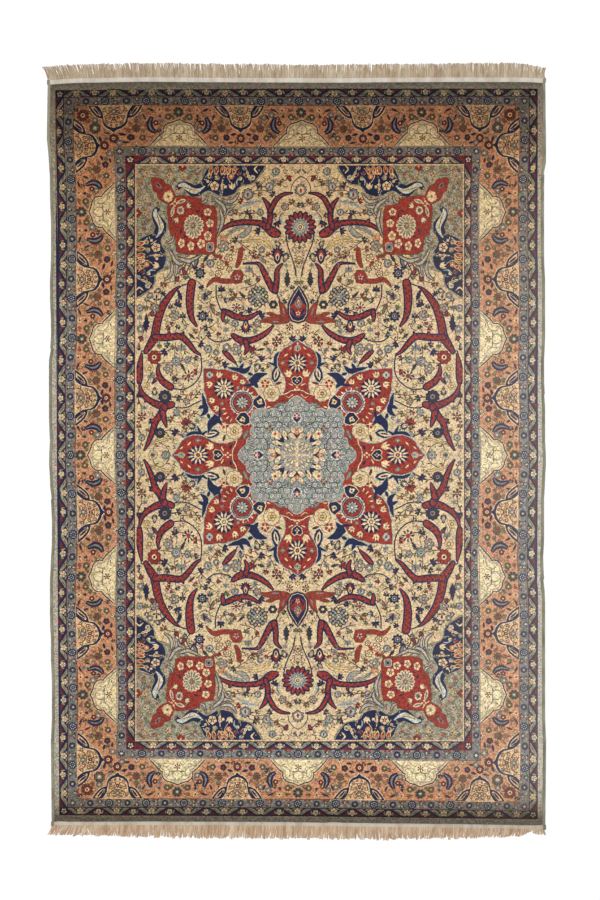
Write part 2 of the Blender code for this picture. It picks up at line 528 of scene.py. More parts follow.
def leafy_stem(size, yarn, leaf):
    """A bent stem with leaves to both sides and a small bud at its end."""
    path = [complex(a, b) * size for a, b in ((-1.2, -0.5), (-0.4, 0.1), (0.4, 0.15), (1.1, -0.35))]
    made = [stroke(yarn, path, 0.55, 2)]
    made += leaves_along(path, size * 0.42, size * 0.62, [leaf, yarn])
    made.append(Patch(leaf, kite(path[-1], path[-1] + size * (0.5 - 0.4j), size * 0.3)))
    return made


def crowned_palmette(size, crown, edge, heart):
    """A drop-shaped flower with a toothed crown, standing on its point."""
    half = [(0, -1.1), (0.36, -0.74), (0.48, -0.2), (0.84, 0.1), (0.6, 0.26), (0.9, 0.54), (0.52, 0.58),
            (0.58, 0.94), (0.26, 0.78), (0.16, 1.14), (0, 0.84)]
    made = [Patch(edge, symmetric([(u * size, v * size) for u, v in half]))]
    made += [
        oval(crown, -0.66j * size, 0.74j * size, size * 0.78),
        oval("cream", -0.7j * size, 0.34j * size, size * 0.5),
        oval(heart, -0.6j * size, 0.02j * size, size * 0.26),
    ]
    return made


def chrysanthemum(radius):
    """A full round flower: three rings of small pale petals over a dark ground."""
    made = [Patch("slate", scalloped(radius, 14, 0.12))]
    for ring, (reach, count) in enumerate(((0.8, 14), (0.53, 10), (0.27, 6))):
        for i in range(count):
            towards = cmath.exp(1j * math.tau * (i + 0.5 * (ring % 2)) / count)
            yarn = "straw" if i % 3 == 1 and ring < 2 else "mist"
            root, tip = towards * radius * (reach - 0.17), towards * radius * (reach + 0.15)
            made.append(Patch(yarn, kite(tip, root, radius * 0.27)))
    made.append(disc("cream", radius * 0.12, 5))
    return made


def haloed(patches, yarn, width=0.7):
    """The patches with a thin line of another yarn round each."""
    return [Patch(yarn, grown(points, width)) for _, points in patches] + patches


# Lace: rows of scrolls that fill a ground


def lace(spots, yarns, size, seed, width=0.7, dots=()):
    """A scroll at each spot, turned this way and that, with a dot now and then."""
    chance = random.Random(seed)
    made = []
    for i, at in enumerate(spots):
        yarn = yarns[i % len(yarns)]
        scroll = curl(size, yarn, width, 1.1, 1 if i % 2 else -1)
        made += placed(scroll, at, chance.uniform(0, 360), chance.uniform(0.85, 1.1))
        if dots and i % 3 == 0:
            dot = dots[(i // 3) % len(dots)]
            made.append(disc(dot, 0.9, 5, at + size * cmath.exp(1j * i)))
    return made


def spots_inside(outline, pitch):
    """Staggered places this far apart inside a closed outline."""
    low = complex(min(p.real for p in outline), min(p.imag for p in outline))
    high = complex(max(p.real for p in outline), max(p.imag for p in outline))
    found = []
    rows = int((high.imag - low.imag) / (pitch * 0.87)) + 1
    for row in range(rows):
        y = low.imag + (row + 0.5) * pitch * 0.87
        x = low.real + (0.5 + 0.5 * (row % 2)) * pitch
        while x < high.real:
            if is_inside(complex(x, y), outline):
                found.append(complex(x, y))
            x += pitch
    return found


def is_inside(point, outline):
    inside = False
    for a, b in zip(outline, outline[1:] + outline[:1]):
        if (a.imag > point.imag) != (b.imag > point.imag):
            crossing = a.real + (point.imag - a.imag) * (b.real - a.real) / (b.imag - a.imag)
            inside ^= point.real < crossing
    return inside


# The borders


def band_edges(name):
    """How far a band's outer and inner edges are from the middle: across, then along."""
    across, along = HALF_ACROSS, HALF_ALONG
    for band in BANDS:
        inner_across, inner_along = across - band.side, along - band.end
        if band.name == name:
            return complex(across, along), complex(inner_across, inner_along)
        across, along = inner_across, inner_along
    raise KeyError(name)


def rectangle(half):
    return [-half, half.conjugate(), half, -half.conjugate()]


def band_grounds():
    made = [Patch(band.ground, rectangle(band_edges(band.name)[0])) for band in BANDS]
    made.append(Patch("gold", rectangle(band_edges("field_line")[1])))
    return made


def along_band(name, unit_at, places_across, places_along):
    """A unit at each place round a band; a unit is drawn with x along the band and y inwards."""
    outer, inner = band_edges(name)
    made = []
    for place in places_across:
        unit = unit_at(place, outer.imag - inner.imag)
        top = [Patch(y, [complex(p.real, outer.imag - p.imag) for p in pts]) for y, pts in unit]
        there = placed(top, place)
        made += both_ends(both_sides(there) if place else there)
    for place in places_along:
        unit = unit_at(place, outer.real - inner.real)
        side = [Patch(y, [complex(outer.real - p.imag, p.real) for p in pts]) for y, pts in unit]
        there = placed(side, place * 1j)
        made += both_sides(both_ends(there) if place else there)
    return made


def vine_arch(place, depth):
    """An arch of the reciprocal vine: two green wings over navy, with a cream flower between them."""
    wing = [(1.0, 0.6), (4.4, 0.9), (6.8, 2.2), (8.8, 3.8), (11.4, 5.4), (14.2, 7.0), (9.6, 7.3),
            (6.8, 6.3), (5.4, 4.8), (4.0, 3.7), (1.4, 3.0)]
    ground = [(0, -0.2), (6.0, -0.1), (10.4, 1.8), (13.4, 3.6), (18.2, 6.4), (18.2, 7.7), (0, 7.7)]
    scale = depth / 7.6
    made = [Patch("navy", [p * scale for p in symmetric(ground)])]
    half = [Patch("sage", [complex(*p) * scale for p in wing])]
    half += [
        Patch("olive", kite((4.4 + 2.4j) * scale, (12.0 + 6.8j) * scale, 1.1)),
        oval("sage", (1.6 + 7.5j) * scale, (5.6 + 6.2j) * scale, 1.4),
        disc("brown", 0.7, 4, (13.6 + 1.2j) * scale),
    ]
    made += both_sides(half)
    made += placed(star_flower(3.3, 5, "cream", "straw", "brown", turn=90, width=1.2),
                   complex(0, depth * 0.56))
    return made


def vine_knot(place, depth):
    """What stands between two arches: a cream flower in a navy block."""
    outline = points_of(((-5.6, -0.2), (5.6, -0.2), (4.8, depth * 0.42), (3.2, depth * 0.8),
                                     (0, depth), (-3.2, depth * 0.8), (-4.8, depth * 0.42)))
    made = [Patch("navy", outline)]
    made += both_sides([oval("sage", complex(3.4, depth * 0.1), complex(4.6, depth * 0.74), 1.6)])
    made += placed(star_flower(3.1, 5, "cream", "straw", "brown", turn=-90, width=1.2),
                   complex(0, depth * 0.42))
    made.append(oval("brown", complex(0, depth * 0.74), complex(0, depth * 1.02), 1.6))
    return made


def vine_unit(pitch):
    def unit_at(place, depth):
        is_arch = round(place / pitch * 2) % 2 == 0
        return vine_arch(place, depth) if is_arch else vine_knot(place, depth)
    return unit_at


def guard_unit(pitch, small_first):
    """The rosettes of the grey guards, large and small by turns, with scrolls between."""
    def unit_at(place, depth):
        number = round(place / pitch)
        middle = complex(0, depth / 2)
        made = []
        for side in (-1, 1):
            low = (number + side) % 4 < 2
            at = complex(side * pitch * 0.5, depth * (0.3 if low else 0.7))
            made += placed(curl(2.5, "slate", 0.7, 1.0, side), at, 90 * side)
            made += placed(curl(1.5, "pale_blue", 0.7, 0.8, side), at, 90 * side)
            made.append(disc("straw", 0.7, 4, at))
            leaf_root = complex(side * pitch * 0.24, depth * (0.8 if low else 0.2))
            made.append(oval("pale_blue", leaf_root, leaf_root + complex(side * 3.0, 1.4), 1.3))
            leaf_root = complex(side * pitch * 0.3, depth * (0.24 if low else 0.76))
            made.append(oval("slate", leaf_root, leaf_root + complex(side * 2.8, -0.8), 1.2))
            accent = complex(side * pitch * 0.38, depth * 0.9)
            made.append(oval("red", accent - 1.6, accent + 1.6, 1.7))
            accent = complex(side * pitch * 0.5, depth * (0.82 if low else 0.18))
            made.append(oval("brown", accent - 1.8, accent + 1.8, 1.4))
            made.append(disc("salmon", 0.6, 4, accent))
        if (number % 2 == 1) == small_first:
            made.append(Patch("navy", scalloped(4.5, 8, 0.2, 22.5, middle)))
            made += placed(star_flower(3.3, 8, "grey_blue", "navy", "chalk", turn=22.5, width=0.6), middle)
            for i in range(8):
                towards = cmath.exp(1j * math.tau * (i + 0.5) / 8)
                made.append(disc("chalk", 0.6, 4, middle + towards * 2.5))
        else:
            made.append(Patch("navy", scalloped(3.5, 8, 0.16, at=middle)))
            made.append(disc("grey_blue", 1.9, 8, middle))
            made.append(disc("navy", 1.5, 8, middle))
            made.append(disc("cream", 0.9, 6, middle))
        return made
    return unit_at


def corner_block(name, motif, ground=None):
    """What fills a band's four corners."""
    outer, inner = band_edges(name)
    made = []
    if ground:
        made.append(Patch(ground, [inner, complex(outer.real, inner.imag), outer,
                                   complex(inner.real, outer.imag)]))
    made += placed(motif, (outer + inner) / 2)
    return four_fold(made)


def steps_to(last, pitch):
    return [i * pitch for i in range(int(last / pitch + 1.01))]


def minor_borders():
    made = []
    flower = star_flower(2.9, 5, "cream", "brown", turn=90, width=1.0)
    for name, across_pitch, across_last, along_pitch, along_last in (
        ("outer_vine", 36.5, 220, 37.9, 342),
        ("inner_vine", 36.5, 150, 38.57, 271),
    ):
        for pitch, last, is_end in ((across_pitch, across_last, True), (along_pitch, along_last, False)):
            places = steps_to(last, pitch / 2)
            made += along_band(name, vine_unit(pitch), places if is_end else [], [] if is_end else places)
        made += corner_block(name, flower, "navy")
    for name, across_pitch, across_count, along_pitch, along_count, corner in (
        ("outer_guard", 19.0, 11, 19.5, 17, True),
        ("inner_guard", 19.67, 8, 18.8, 15, False),
    ):
        across = [across_pitch * i for i in range(across_count + 1)]
        along = [along_pitch * i for i in range(along_count + 1)]
        made += along_band(name, guard_unit(across_pitch, False), across, [])
        made += along_band(name, guard_unit(along_pitch, False), [], along)
        rosette = star_flower(3.9, 8, "navy", "cream", turn=22.5, width=0.85)
        made += corner_block(name, rosette)
    return made


# The main border: cream cartouches from its outer edge, arches from its inner one

CARTOUCHES_ACROSS = [61.0, 181.5]
ARCHES_ACROSS = [0.0, 121.5]
CARTOUCHES_ALONG = [57.0, 175.0, 307.0]
ARCHES_ALONG = [0.0, 116.0, 241.0]

CARTOUCHE = [(28.5, -0.2), (24.4, 5.4), (20.4, 9.6), (16.4, 11.8), (12.4, 12.6), (12.0, 16.5), (10.2, 20),
             (6.6, 22.8), (2.8, 24.2), (0, 27.0)]
CARTOUCHE_BOWL = [(17.4, -0.2), (14.6, 2.8), (12.0, 7), (11.2, 11.4), (10.4, 15.6), (8.2, 18.8),
                  (4.6, 20.8), (0, 22)]
CARTOUCHE_WING = [(25.4, 0.9), (22.4, 4.8), (18.8, 8.4), (15.4, 10.2), (13.8, 9.6), (14.8, 6.2),
                  (18.2, 2.2), (21, 0.6)]
ARCH = [(29, 0), (24.6, 4.6), (20, 9.8), (16.4, 13), (15, 13.4), (15.4, 16.8), (14.2, 20), (11, 22.8),
        (5.6, 24.2), (0, 26.6)]


def cartouche(place, depth):
    """A cream cartouche with winged shoulders, hung from the band's outer edge."""
    outline = symmetric(CARTOUCHE)
    made = edged(outline, "navy", "cream", 0.8)
    bowl = symmetric(CARTOUCHE_BOWL)
    made.append(Patch("cream", bowl))
    made.append(Patch("peach", grown(bowl, -0.8)))
    wing = points_of(CARTOUCHE_WING)
    leaf = petal(22.6 + 1.2j, 15.6 + 9.4j, 2.2)
    made += both_sides([Patch("peach", wing), Patch("navy", leaf)])
    made += both_sides([sweep("navy", [(20.6, 0, 1.6), (17.6, 3.2, 1.6), (14.6, 8.6, 0.8)])])
    scrolls = [stroke("brown", [9.6 + 1.2j, 8.6 + 5.4j, 4.8 + 8.4j, 9.2j], 1.0),
               stroke("brown", [1.4j, 4.6 + 2.4j, 7.4 + 5.6j], 0.6),
               stroke("brown", [9.8 + 8.4j, 8.8 + 13.6j, 4.6 + 16.2j, 17j], 0.7)]
    for x, y, size, turn in ((10.6, 3.8, 2.2, 20), (7.6, 11.6, 2.3, 200), (4.4, 12.6, 1.8, 120),
                             (6.6, 17.4, 1.9, 300), (2.8, 19.4, 1.5, 90), (4.2, 5.6, 1.8, 40)):
        scrolls += placed(curl(size, "brown", 0.95, 1.1), complex(x, y), turn)
    scrolls += [
        oval("olive", 1.4 + 3.4j, 6.0 + 0.8j, 1.6),
        oval("olive", 1.2 + 11.8j, 4.8 + 9.8j, 1.5),
        oval("brown", 0.8 + 13.2j, 3.4 + 17.2j, 1.5),
        oval("cream", 8.6 + 6.2j, 9.4 + 10.2j, 1.4),
    ]
    made += both_sides(scrolls)
    made += placed(ringed_flower(2.6, 6, "grey_blue", "slate", "cream", 0.5), 5.6j)
    made += [
        oval("slate", 10.4j, 15.4j, 3.4),
        oval("crimson", 11.2j, 14.6j, 2.0),
        oval("cream", 12.2j, 13.8j, 0.9),
    ]
    tip = placed(daisy(4.9, 8, "crimson", "slate", "cream", "red", inner=0.36), complex(0, depth - 8.2))
    return made + tip


def narrow_cartouche(place, depth):
    """The cartouches of the two ends are woven narrower than those of the sides."""
    return [
        Patch(yarn, [complex(p.real * 0.9, p.imag) for p in points])
        for yarn, points in cartouche(place, depth)
    ]


def border_arch(place, depth):
    """A gold arch on the band's inner edge, with the flowers that stand round it."""
    up = [Patch(y, [complex(p.real, depth - p.imag) for p in pts]) for y, pts in arch_motifs()]
    return up


def arch_motifs():
    outline = symmetric(ARCH)
    made = [Patch("cream", grown(outline, 1.5)), Patch("navy", grown(outline, 0.9))]
    made += [
        Patch("gold", grown(outline, -0.3)),
        Patch("sage", grown(outline, -2.2)),
        Patch("ivory", grown(outline, -2.9)),
    ]
    scrolls = [stroke("sage", [25 + 1j, 19 + 6.4j, 12 + 8.4j, 8 + 13j, 9 + 18j], 1.3),
               stroke("sage", [22.6j, 4.6 + 18.6j, 4 + 13.6j, 12.4j], 1.2)]
    for x, y, size, turn in ((5.2, 4.2, 2.6, 0), (11.4, 4.0, 2.4, 180), (18.2, 3.4, 2.2, 60),
                             (9.2, 9.6, 2.6, 120), (15.4, 8.6, 2.0, 300), (6.6, 15.2, 2.4, 200),
                             (11.2, 17.0, 2.0, 20), (3.6, 20.6, 1.8, 90)):
        scrolls += placed(curl(size, "sage", 0.8, 1.2), complex(x, y), turn)
        scrolls += placed(curl(size * 0.7, "gold", 0.9, 1.0), complex(x, y), turn + 90)
    scrolls.append(oval("olive", 2 + 13.4j, 7 + 12.4j, 1.1))
    scrolls.append(oval("olive", 12 + 5.6j, 16.4 + 5.8j, 1.0))
    made += both_sides(scrolls)
    made += placed(star_flower(3.6, 6, "crimson", "brown", "straw", turn=90), 8.4j)
    made += placed(daisy(5.4, 8, "slate", "olive", "grey_blue", "cream", 22.5, 0.36), 34.2j)
    sides = []
    sides += placed(ringed_flower(2.9, 6, "olive", "slate", "straw", 0.6), 10.4 + 29.6j)
    sides += placed(sprig(3.6, "olive", 3, "slate"), 5.4 + 28.0j, -30)
    sides += placed(bud(3.0, "navy", "slate", "olive"), 18.4 + 29.6j, 10)
    sides += placed(star_flower(3.0, 6, "cream", "crimson"), 18.6 + 36.4j)
    sides += placed(sprig(3.8, "brown", 3), 11.0 + 36.4j, 95)
    sides += placed(sprig(3.4, "olive", 2), 17.2 + 20.6j, -50)
    sides += arabesque([(22.6, 13.6, 1), (27.2, 17.0, 4.0), (28.8, 22.5, 4.0), (26.4, 29.4, 1.2)], False,
                       "grey_blue", "navy", 1.8)
    sides += placed(ringed_flower(2.4, 5, "crimson", "slate", "cream", 0.5), 22.6 + 23.4j)
    sides += placed(sprig(3.8, "crimson", 2, "brown"), 32.6 + 20.8j, 10)
    sides.append(stroke("brown", [22.4 + 33.0j, 26.4 + 37.2j, 32.4 + 36.0j], 1.0))
    sides.append(oval("navy", 24.4 + 34.6j, 30.4 + 38.2j, 2.0))
    sides += placed(sprig(5.2, "olive", 3, "brown"), 41.6 + 25.0j)
    sides += placed(sprig(4.2, "olive", 3), 35.0 + 15.6j, 60)
    sides += placed(sprig(4.2, "brown", 3), 48.2 + 15.8j, -60)
    sides += placed(sprig(3.6, "olive", 2), 36.4 + 22.4j, 40)
    sides += placed(sprig(3.6, "brown", 2), 47.0 + 22.4j, -40)
    sides += placed(palmette(4.4, "olive", "slate", "brown", "red"), 41.6 + 18.4j, 180)
    sides += placed(ringed_flower(2.7, 5, "olive", "slate", "cream", 0.6), 35.6 + 8.6j)
    sides += placed(ringed_flower(2.9, 5, "slate", "navy", "red", 0.6), 46.4 + 9.0j)
    sides += placed(lotus(4.6, "cream", "navy", "red", 5, 150), 41.4 + 0.2j)
    sides += [
        oval("slate", 47.4 + 3.6j, 53.6 + 4.4j, 2.6),
        oval("grey_blue", 29.4 + 6.4j, 33.4 + 3.0j, 2.0),
        oval("navy", 50.0 + 11.4j, 56.4 + 13.0j, 3.0),
        oval("slate", 32.6 + 26.0j, 35.4 + 32.4j, 2.4),
    ]
    sides += placed(star_flower(3.0, 6, "brown", "cream", "crimson"), 37.6 + 35.4j)
    sides += placed(bud(2.6, "navy", "slate", "olive"), 44.6 + 33.0j, 20)
    return made + both_sides(sides)


def border_corner():
    """The flowers on the slant of each corner of the main border."""
    outer, inner = band_edges("main")
    half = []
    half += placed(sprig(3.4, "olive", 2), outer - (31.5 + 15.6j), 60)
    half += placed(sprig(3.6, "brown", 2), outer - (14.6 + 15.6j), 20)
    half.append(oval("slate", outer - (37 + 28j), outer - (30 + 26j), 3.0))
    half.append(oval("grey_blue", outer - (27.6 + 34.4j), outer - (22.4 + 29.8j), 2.8))
    half += placed(star_flower(2.4, 5, "brown", "cream"), outer - (16.4 + 9.0j))
    half += placed(sprig(2.6, "crimson", 2), outer - (5.0 + 14.4j), 160)
    made = half + mirrored_askew(half, outer.real - outer.imag)
    made += placed(daisy(6.4, 8, "crimson", "brown", "cream", "red", 22.5, 0.36), outer - (9.4 + 9.2j))
    made += placed(daisy(6.0, 8, "olive", "slate", "grey_blue", "cream", 22.5, 0.46),
                   outer - (21.8 + 22.0j))
    return four_fold(made)


def main_border():
    made = along_band("main", border_arch, ARCHES_ACROSS, ARCHES_ALONG)
    made += along_band("main", narrow_cartouche, CARTOUCHES_ACROSS, [])
    made += along_band("main", cartouche, [], CARTOUCHES_ALONG)
    made += border_corner()
    outer, inner = band_edges("main")
    room = [p for p in spots_inside(rectangle(outer - (3 + 3j)), 3.2)
            if p.real > 0 and p.imag > 0 and (p.real > inner.real + 3 or p.imag > inner.imag + 3)]
    kinds = ["olive spray", "brown spray", "small flower", "slate spray", "olive stem", "grey spray"]
    return made + four_fold(fill_gaps(made, room, kinds, 1.9, 5, 4.2))


# Small flowers where there is room for them

CELL = 1.5


def marked(points, cells):
    for a, b in zip(points, points[1:] + points[:1]):
        steps = int(abs(b - a)) + 1
        for i in range(steps):
            p = a + (b - a) * i / steps
            cells.add((round(p.real / CELL), round(p.imag / CELL)))


def fill_gaps(taken, spots, kinds, room, seed, size):
    """A small motif at every spot with this much room round it."""
    chance = random.Random(seed)
    cells = set()
    solid = []
    for yarn, points in taken:
        if max(p.real for p in points) > -1 and max(p.imag for p in points) > -1:
            marked(points, cells)
            if abs(signed_area(points)) > 50:
                solid.append(points)
    reach = int(room / CELL) + 1
    around = [(i, k) for i in range(-reach, reach + 1) for k in range(-reach, reach + 1)
              if math.hypot(i, k) * CELL <= room]
    made = []
    for spot in spots:
        spot += complex(chance.uniform(-1, 1), chance.uniform(-1, 1))
        column, row = round(spot.real / CELL), round(spot.imag / CELL)
        if any((column + i, row + k) in cells for i, k in around):
            continue
        if any(is_inside(spot, points) for points in solid):
            continue
        kind = kinds[chance.randrange(len(kinds))]
        motif = placed(FLOWER_KINDS[kind](size * chance.uniform(0.85, 1.15)), spot, chance.uniform(0, 360))
        for yarn, points in motif:
            marked(points, cells)
        made += motif
    return made


# The corners of the field: a green ground, a navy branch from the edge and a red panel on the slant

SPANDREL_OFFSET = -123
SPANDREL_GROUND = [(163.5, 287), (36, 287), (36, 284), (46, 270), (54, 267), (61, 267), (66, 252),
                   (75, 241), (80, 230), (86, 219), (86, 209)]
NAVY_BRANCH = [(124.4, 265.5), (121.6, 269.6), (116, 271.2), (110.6, 269.6), (105.6, 267.2), (100.4, 269.2),
               (97.4, 275), (94.8, 281.5), (90, 286.6), (36.6, 286.6), (38.4, 282.6), (42.4, 276.4),
               (46.6, 270.6), (51.5, 268.2), (57.8, 267.5), (62.6, 264.6), (65.5, 259.6), (70, 257.4),
               (75.4, 256.4), (82, 257.2), (86.9, 260.3), (91.7, 262.1), (95.4, 260.9), (101.4, 256.6),
               (108.7, 256.2), (113.5, 260.3), (117.6, 265.2), (121.6, 262.4)]
RED_PANEL = [(153.4, 276.4), (150.6, 277.4), (146.4, 275.8), (140.6, 274.6), (138.6, 270.4), (134.6, 269.6),
             (131.4, 266.4), (128.8, 261.6), (127.4, 257.8), (121, 258.6), (112, 257.4), (105, 256.8),
             (100, 254.6), (99, 250), (94, 248.8), (87.4, 248.4), (85.6, 243), (84.8, 234), (85.4, 224),
             (84.8, 214), (86.6, 209.6)]


def two_way(half):
    """A closed outline from the half above the slant of a field corner."""
    there = points_of(half)
    return there + [complex(p.imag + SPANDREL_OFFSET, p.real - SPANDREL_OFFSET) for p in reversed(there)]


def drawn_out(motif):
    """The red panel and its scrolls as they are woven: longer towards the middle of the rug."""
    made = []
    for yarn, points in motif:
        away = [p - (107 + 230j) for p in points]
        away = [complex(p.real * (1.07 if p.real < 0 else 0.88),
                        p.imag * (1.24 if p.imag < 0 else 0.95)) for p in away]
        made.append(Patch(yarn, [p + (107 + 230j) for p in away]))
    return made


def lowered(motif):
    """A field corner as it is woven, its inner part a little nearer the middle."""
    return [Patch(yarn,
                  [p - 2.8j * soft_step((262 - p.imag) / 45) for p in points]) for yarn, points in motif]


def spandrel():
    ground = two_way(SPANDREL_GROUND)
    made = edged(ground, "sage", "brown", 0.5)
    spots = spots_inside(ground, 4.6)
    made += lace(spots, ["brown", "pale_blue", "olive", "pale_blue", "salmon"], 2.1, 7, 0.7,
                 ("salmon", "red", "brown"))
    half = []
    for line_points in (
        [(153, 280), (146, 284), (138, 280), (131, 284), (124, 280), (117, 284), (109, 280), (103, 284)],
        [(158, 284), (150, 278), (141, 276)],
    ):
        half.append(stroke("brown", points_of(line_points), 0.6))
    for u, v, yarn, size in ((156, 276, "straw", 1.8), (146, 281, "red", 1.6), (131, 277, "straw", 2.0),
                             (118, 278, "straw", 1.6), (103, 278, "red", 1.8), (127, 283.6, "straw", 1.5),
                             (112, 274, "brown", 1.6), (126, 272.6, "brown", 1.5),
                             (158, 282.5, "brown", 1.4)):
        half += placed(star_flower(size + 0.8, 5, yarn, "brown"), complex(u, v), u)
    half += placed(lotus(5.4, "red", "crimson", "straw", 5, 120), 118 + 286.4j, 180)
    # pale scrolls between the branch, the panel and the field
    scrolls = []
    for stations in (
        [(64, 262, 0.8), (68.5, 254.5, 3.4), (74, 252.6, 3.6), (79.5, 254.4, 1.0)],
        [(67, 250, 0.8), (72.4, 247, 3.4), (77.4, 248.4, 3.2), (80.4, 252.4, 1.0)],
        [(90, 257.4, 0.8), (84.8, 253.6, 3.0), (79, 248.4, 3.6), (77.2, 242, 2.6), (80.6, 237, 0.8)],
        [(82.2, 246.6, 0.8), (80.4, 240.4, 3.0), (79.4, 233.6, 3.4), (81.8, 226.4, 2.4),
         (84.6, 220.8, 0.8)],
        [(93.4, 258.4, 0.8), (95.6, 252.8, 2.8), (99.6, 251.6, 1.0)],
        [(75.6, 240.6, 0.8), (73.6, 244.6, 2.6), (69.4, 246, 0.8)],
    ):
        scrolls += arabesque(stations, False, "pale_blue", "brown", 0.9)
    made += drawn_out(scrolls + mirrored_askew(scrolls, SPANDREL_OFFSET))
    half += placed(curl(3.0, "brown", 0.7, 1.2), complex(72.4, 262 - 2), 40)
    half.append(oval("grey_blue", 87 + 251j, 84 + 257j, 2.0))
    # the navy branch, its pale inner leaf and its flowers
    branch = points_of(NAVY_BRANCH)
    half += edged(branch, "navy", "sage", 0.7)
    half.append(Patch("chalk", ribbon([(122, 266.8, 1.4), (117, 267.4, 4.8), (111, 263.8, 5.0),
                                       (105.6, 261.4, 5.2),
                                      (99.6, 263.2, 2.6), (95.4, 266.6, 0.8)])))
    half.append(sweep("straw", [(119, 267, 0.8), (112, 264, 2.2), (106, 261.8, 2.2), (101, 263, 0.6)]))
    half.append(stroke("navy", [116 + 265.4j, 110 + 263.4j, 104 + 262.4j], 0.6))
    half += placed(star_flower(4.8, 5, "cream", "red", "straw", width=1.2), 86 + 266.4j)
    half += placed(palmette(4.0, "salmon", "straw", "red", "cream"), 76.4 + 281.6j, 180)
    half += placed(ringed_flower(2.6, 6, "salmon", "red", "cream", 0.6), 69.6 + 275.8j)
    half += placed(sprig(4.4, "straw", 3, "salmon"), 83.6 + 274.6j, -20)
    half += placed(sprig(3.6, "pale_blue", 2, "red"), 57.2 + 284j, 60)
    half += placed(ringed_flower(2.2, 5, "pale_blue", "cream", "red", 0.5), 48.4 + 274.6j)
    half.append(sweep("pale_blue", [(60.6, 276, 0.6), (64, 271.4, 1.6), (63.6, 267, 0.6)]))
    half.append(sweep("pale_blue", [(88.6, 283, 0.6), (91.4, 279, 1.8), (95.6, 274.6, 0.6)]))
    half += placed(bud(4.4, "red", "straw", "grey_blue"), 91.4 + 275j, 15)
    half += placed(bud(4.0, "red", "crimson", "grey_blue"), 62 + 278j, -10)
    half += placed(tulip(6.4, "cream", "grey_blue"), 67.6 + 263.2j, -14)
    half += feather([(77.8, 259.6, 0.6), (78.6, 265, 3.0), (78, 273.4, 0.6)], 4, "cream", "brown")
    half += feather([(49.8, 270.4, 0.6), (52.6, 276, 3.4), (55.6, 284.4, 0.6)], 5, "cream", "olive")
    half += placed(petals_only(3.4, "cream"), 59.4 + 272.2j, -40)
    for u in (66, 71.6, 77.6, 83.6, 89):
        half.append(oval("straw", complex(u, 287), complex(u + 1.8, 276.8), 4.8))
        half.append(oval("red", complex(u, 286.6), complex(u + 1.6, 278.4), 3.4))
        half.append(oval("salmon", complex(u, 286.2), complex(u + 1.2, 281.4), 1.2))
    half += [
        stroke("straw", [62.5 + 284j, 66 + 281.5j, 70 + 283.4j, 74 + 279j], 0.7),
        oval("grey_blue", 80.8 + 272.8j, 84.4 + 277.6j, 1.6),
        sweep("cream", [(43.6, 279, 0.6), (46.8, 283, 1.8), (44, 286.2, 0.6)]),
        stroke("cream", [70.4 + 270j, 73.6 + 275.6j, 72 + 280j], 0.6),
        stroke("cream", [92.6 + 266.2j, 89 + 271.6j], 0.6, 1),
    ]
    drawn = [p for p in half if is_inside(p.points[0], branch) and p.points is not branch]
    drawn = [p for p in drawn if abs(signed_area(p.points)) < 300]
    room = spots_inside(grown(branch, -1.4), 3.6)
    half += fill_gaps(drawn, room, ["sage spray", "salmon spray", "cream spray", "small star"], 2.0, 3, 2.6)
    made += half + mirrored_askew(half, SPANDREL_OFFSET)
    # the red panel and what is on its slant
    panel = edged(two_way(RED_PANEL), "red", "brown", 0.8)
    half = []
    for u, v in ((93.4, 242.6), (91.2, 232), (93, 222)):
        half += placed(star_flower(4.0, 5, "cream", "brown", "gold", width=1.2), complex(u, v), u * 7)
        half.append(oval("navy", complex(u + 1.6, v - 6.6), complex(u - 1.8, v - 4.6), 1.4))
    half += petals_from(111 + 249j, ((114, 253.6, "grey_blue"),))
    half.append(oval("cream", 125.6 + 251.6j, 114.6 + 254.4j, 4.2))
    half.append(oval("grey_blue", 124.4 + 251.8j, 116 + 254j, 2.2))
    half += placed(tulip(5.4, "cream", "navy"), 114.4 + 247.4j, 65)
    half += [
        oval("navy", 105.2 + 242.2j, 100.2 + 244.4j, 1.8),
        oval("navy", 98.4 + 236.6j, 99 + 241j, 1.5),
        stroke("cream", [128.6 + 252.4j, 126 + 256.2j], 0.8, 1),
        oval("brown", 139 + 262.6j, 141.2 + 268.6j, 1.6),
        stroke("cream", [130.6 + 259.2j, 133.2 + 264.4j], 0.6, 1),
    ]
    panel += half + mirrored_askew(half, SPANDREL_OFFSET)
    big = daisy(10.4, 16, "grey_blue", "cream", "straw", "grey_blue", 45, 0.4)
    panel += placed(big, 107 + 230j)
    panel += placed(star_flower(4.0, 12, "brown", "grey_blue", "cream", width=0.7), 107 + 230j)
    panel += placed(palmette(4.6, "cream", "grey_blue", "grey_blue", "red"), 121.2 + 244.4j, 135)
    panel += placed(star_flower(3.2, 4, "cream", "red", width=0.9), 127.6 + 250.8j)
    panel += placed(ringed_flower(5.2, 8, "cream", "straw", "brown", 0.6), 134.9 + 257.8j)
    panel += placed(star_flower(2.2, 6, "straw", "brown"), 134.9 + 257.8j)
    panel.append(oval("grey_blue", 142.4 + 265.6j, 149.4 + 272.2j, 4.4))
    panel.append(oval("crimson", 144.2 + 267.2j, 148 + 271j, 2.4))
    panel += placed(ringed_flower(3.8, 4, "grey_blue", "cream", "navy", 0.4), 90.6 + 213.4j, 45)
    return four_fold(lowered(made + drawn_out(panel)))


def petals_only(size, yarn):
    """Three small petals from one root."""
    return [oval(yarn, 0j, size * cmath.exp(1j * math.radians(a)), size * 0.4) for a in (55, 90, 125)]


def petals_from(root, tips):
    return [oval(yarn, root, complex(u, v), 2.0) for u, v, yarn in tips]


# The field: red arabesques with navy edges, drawn in one quarter

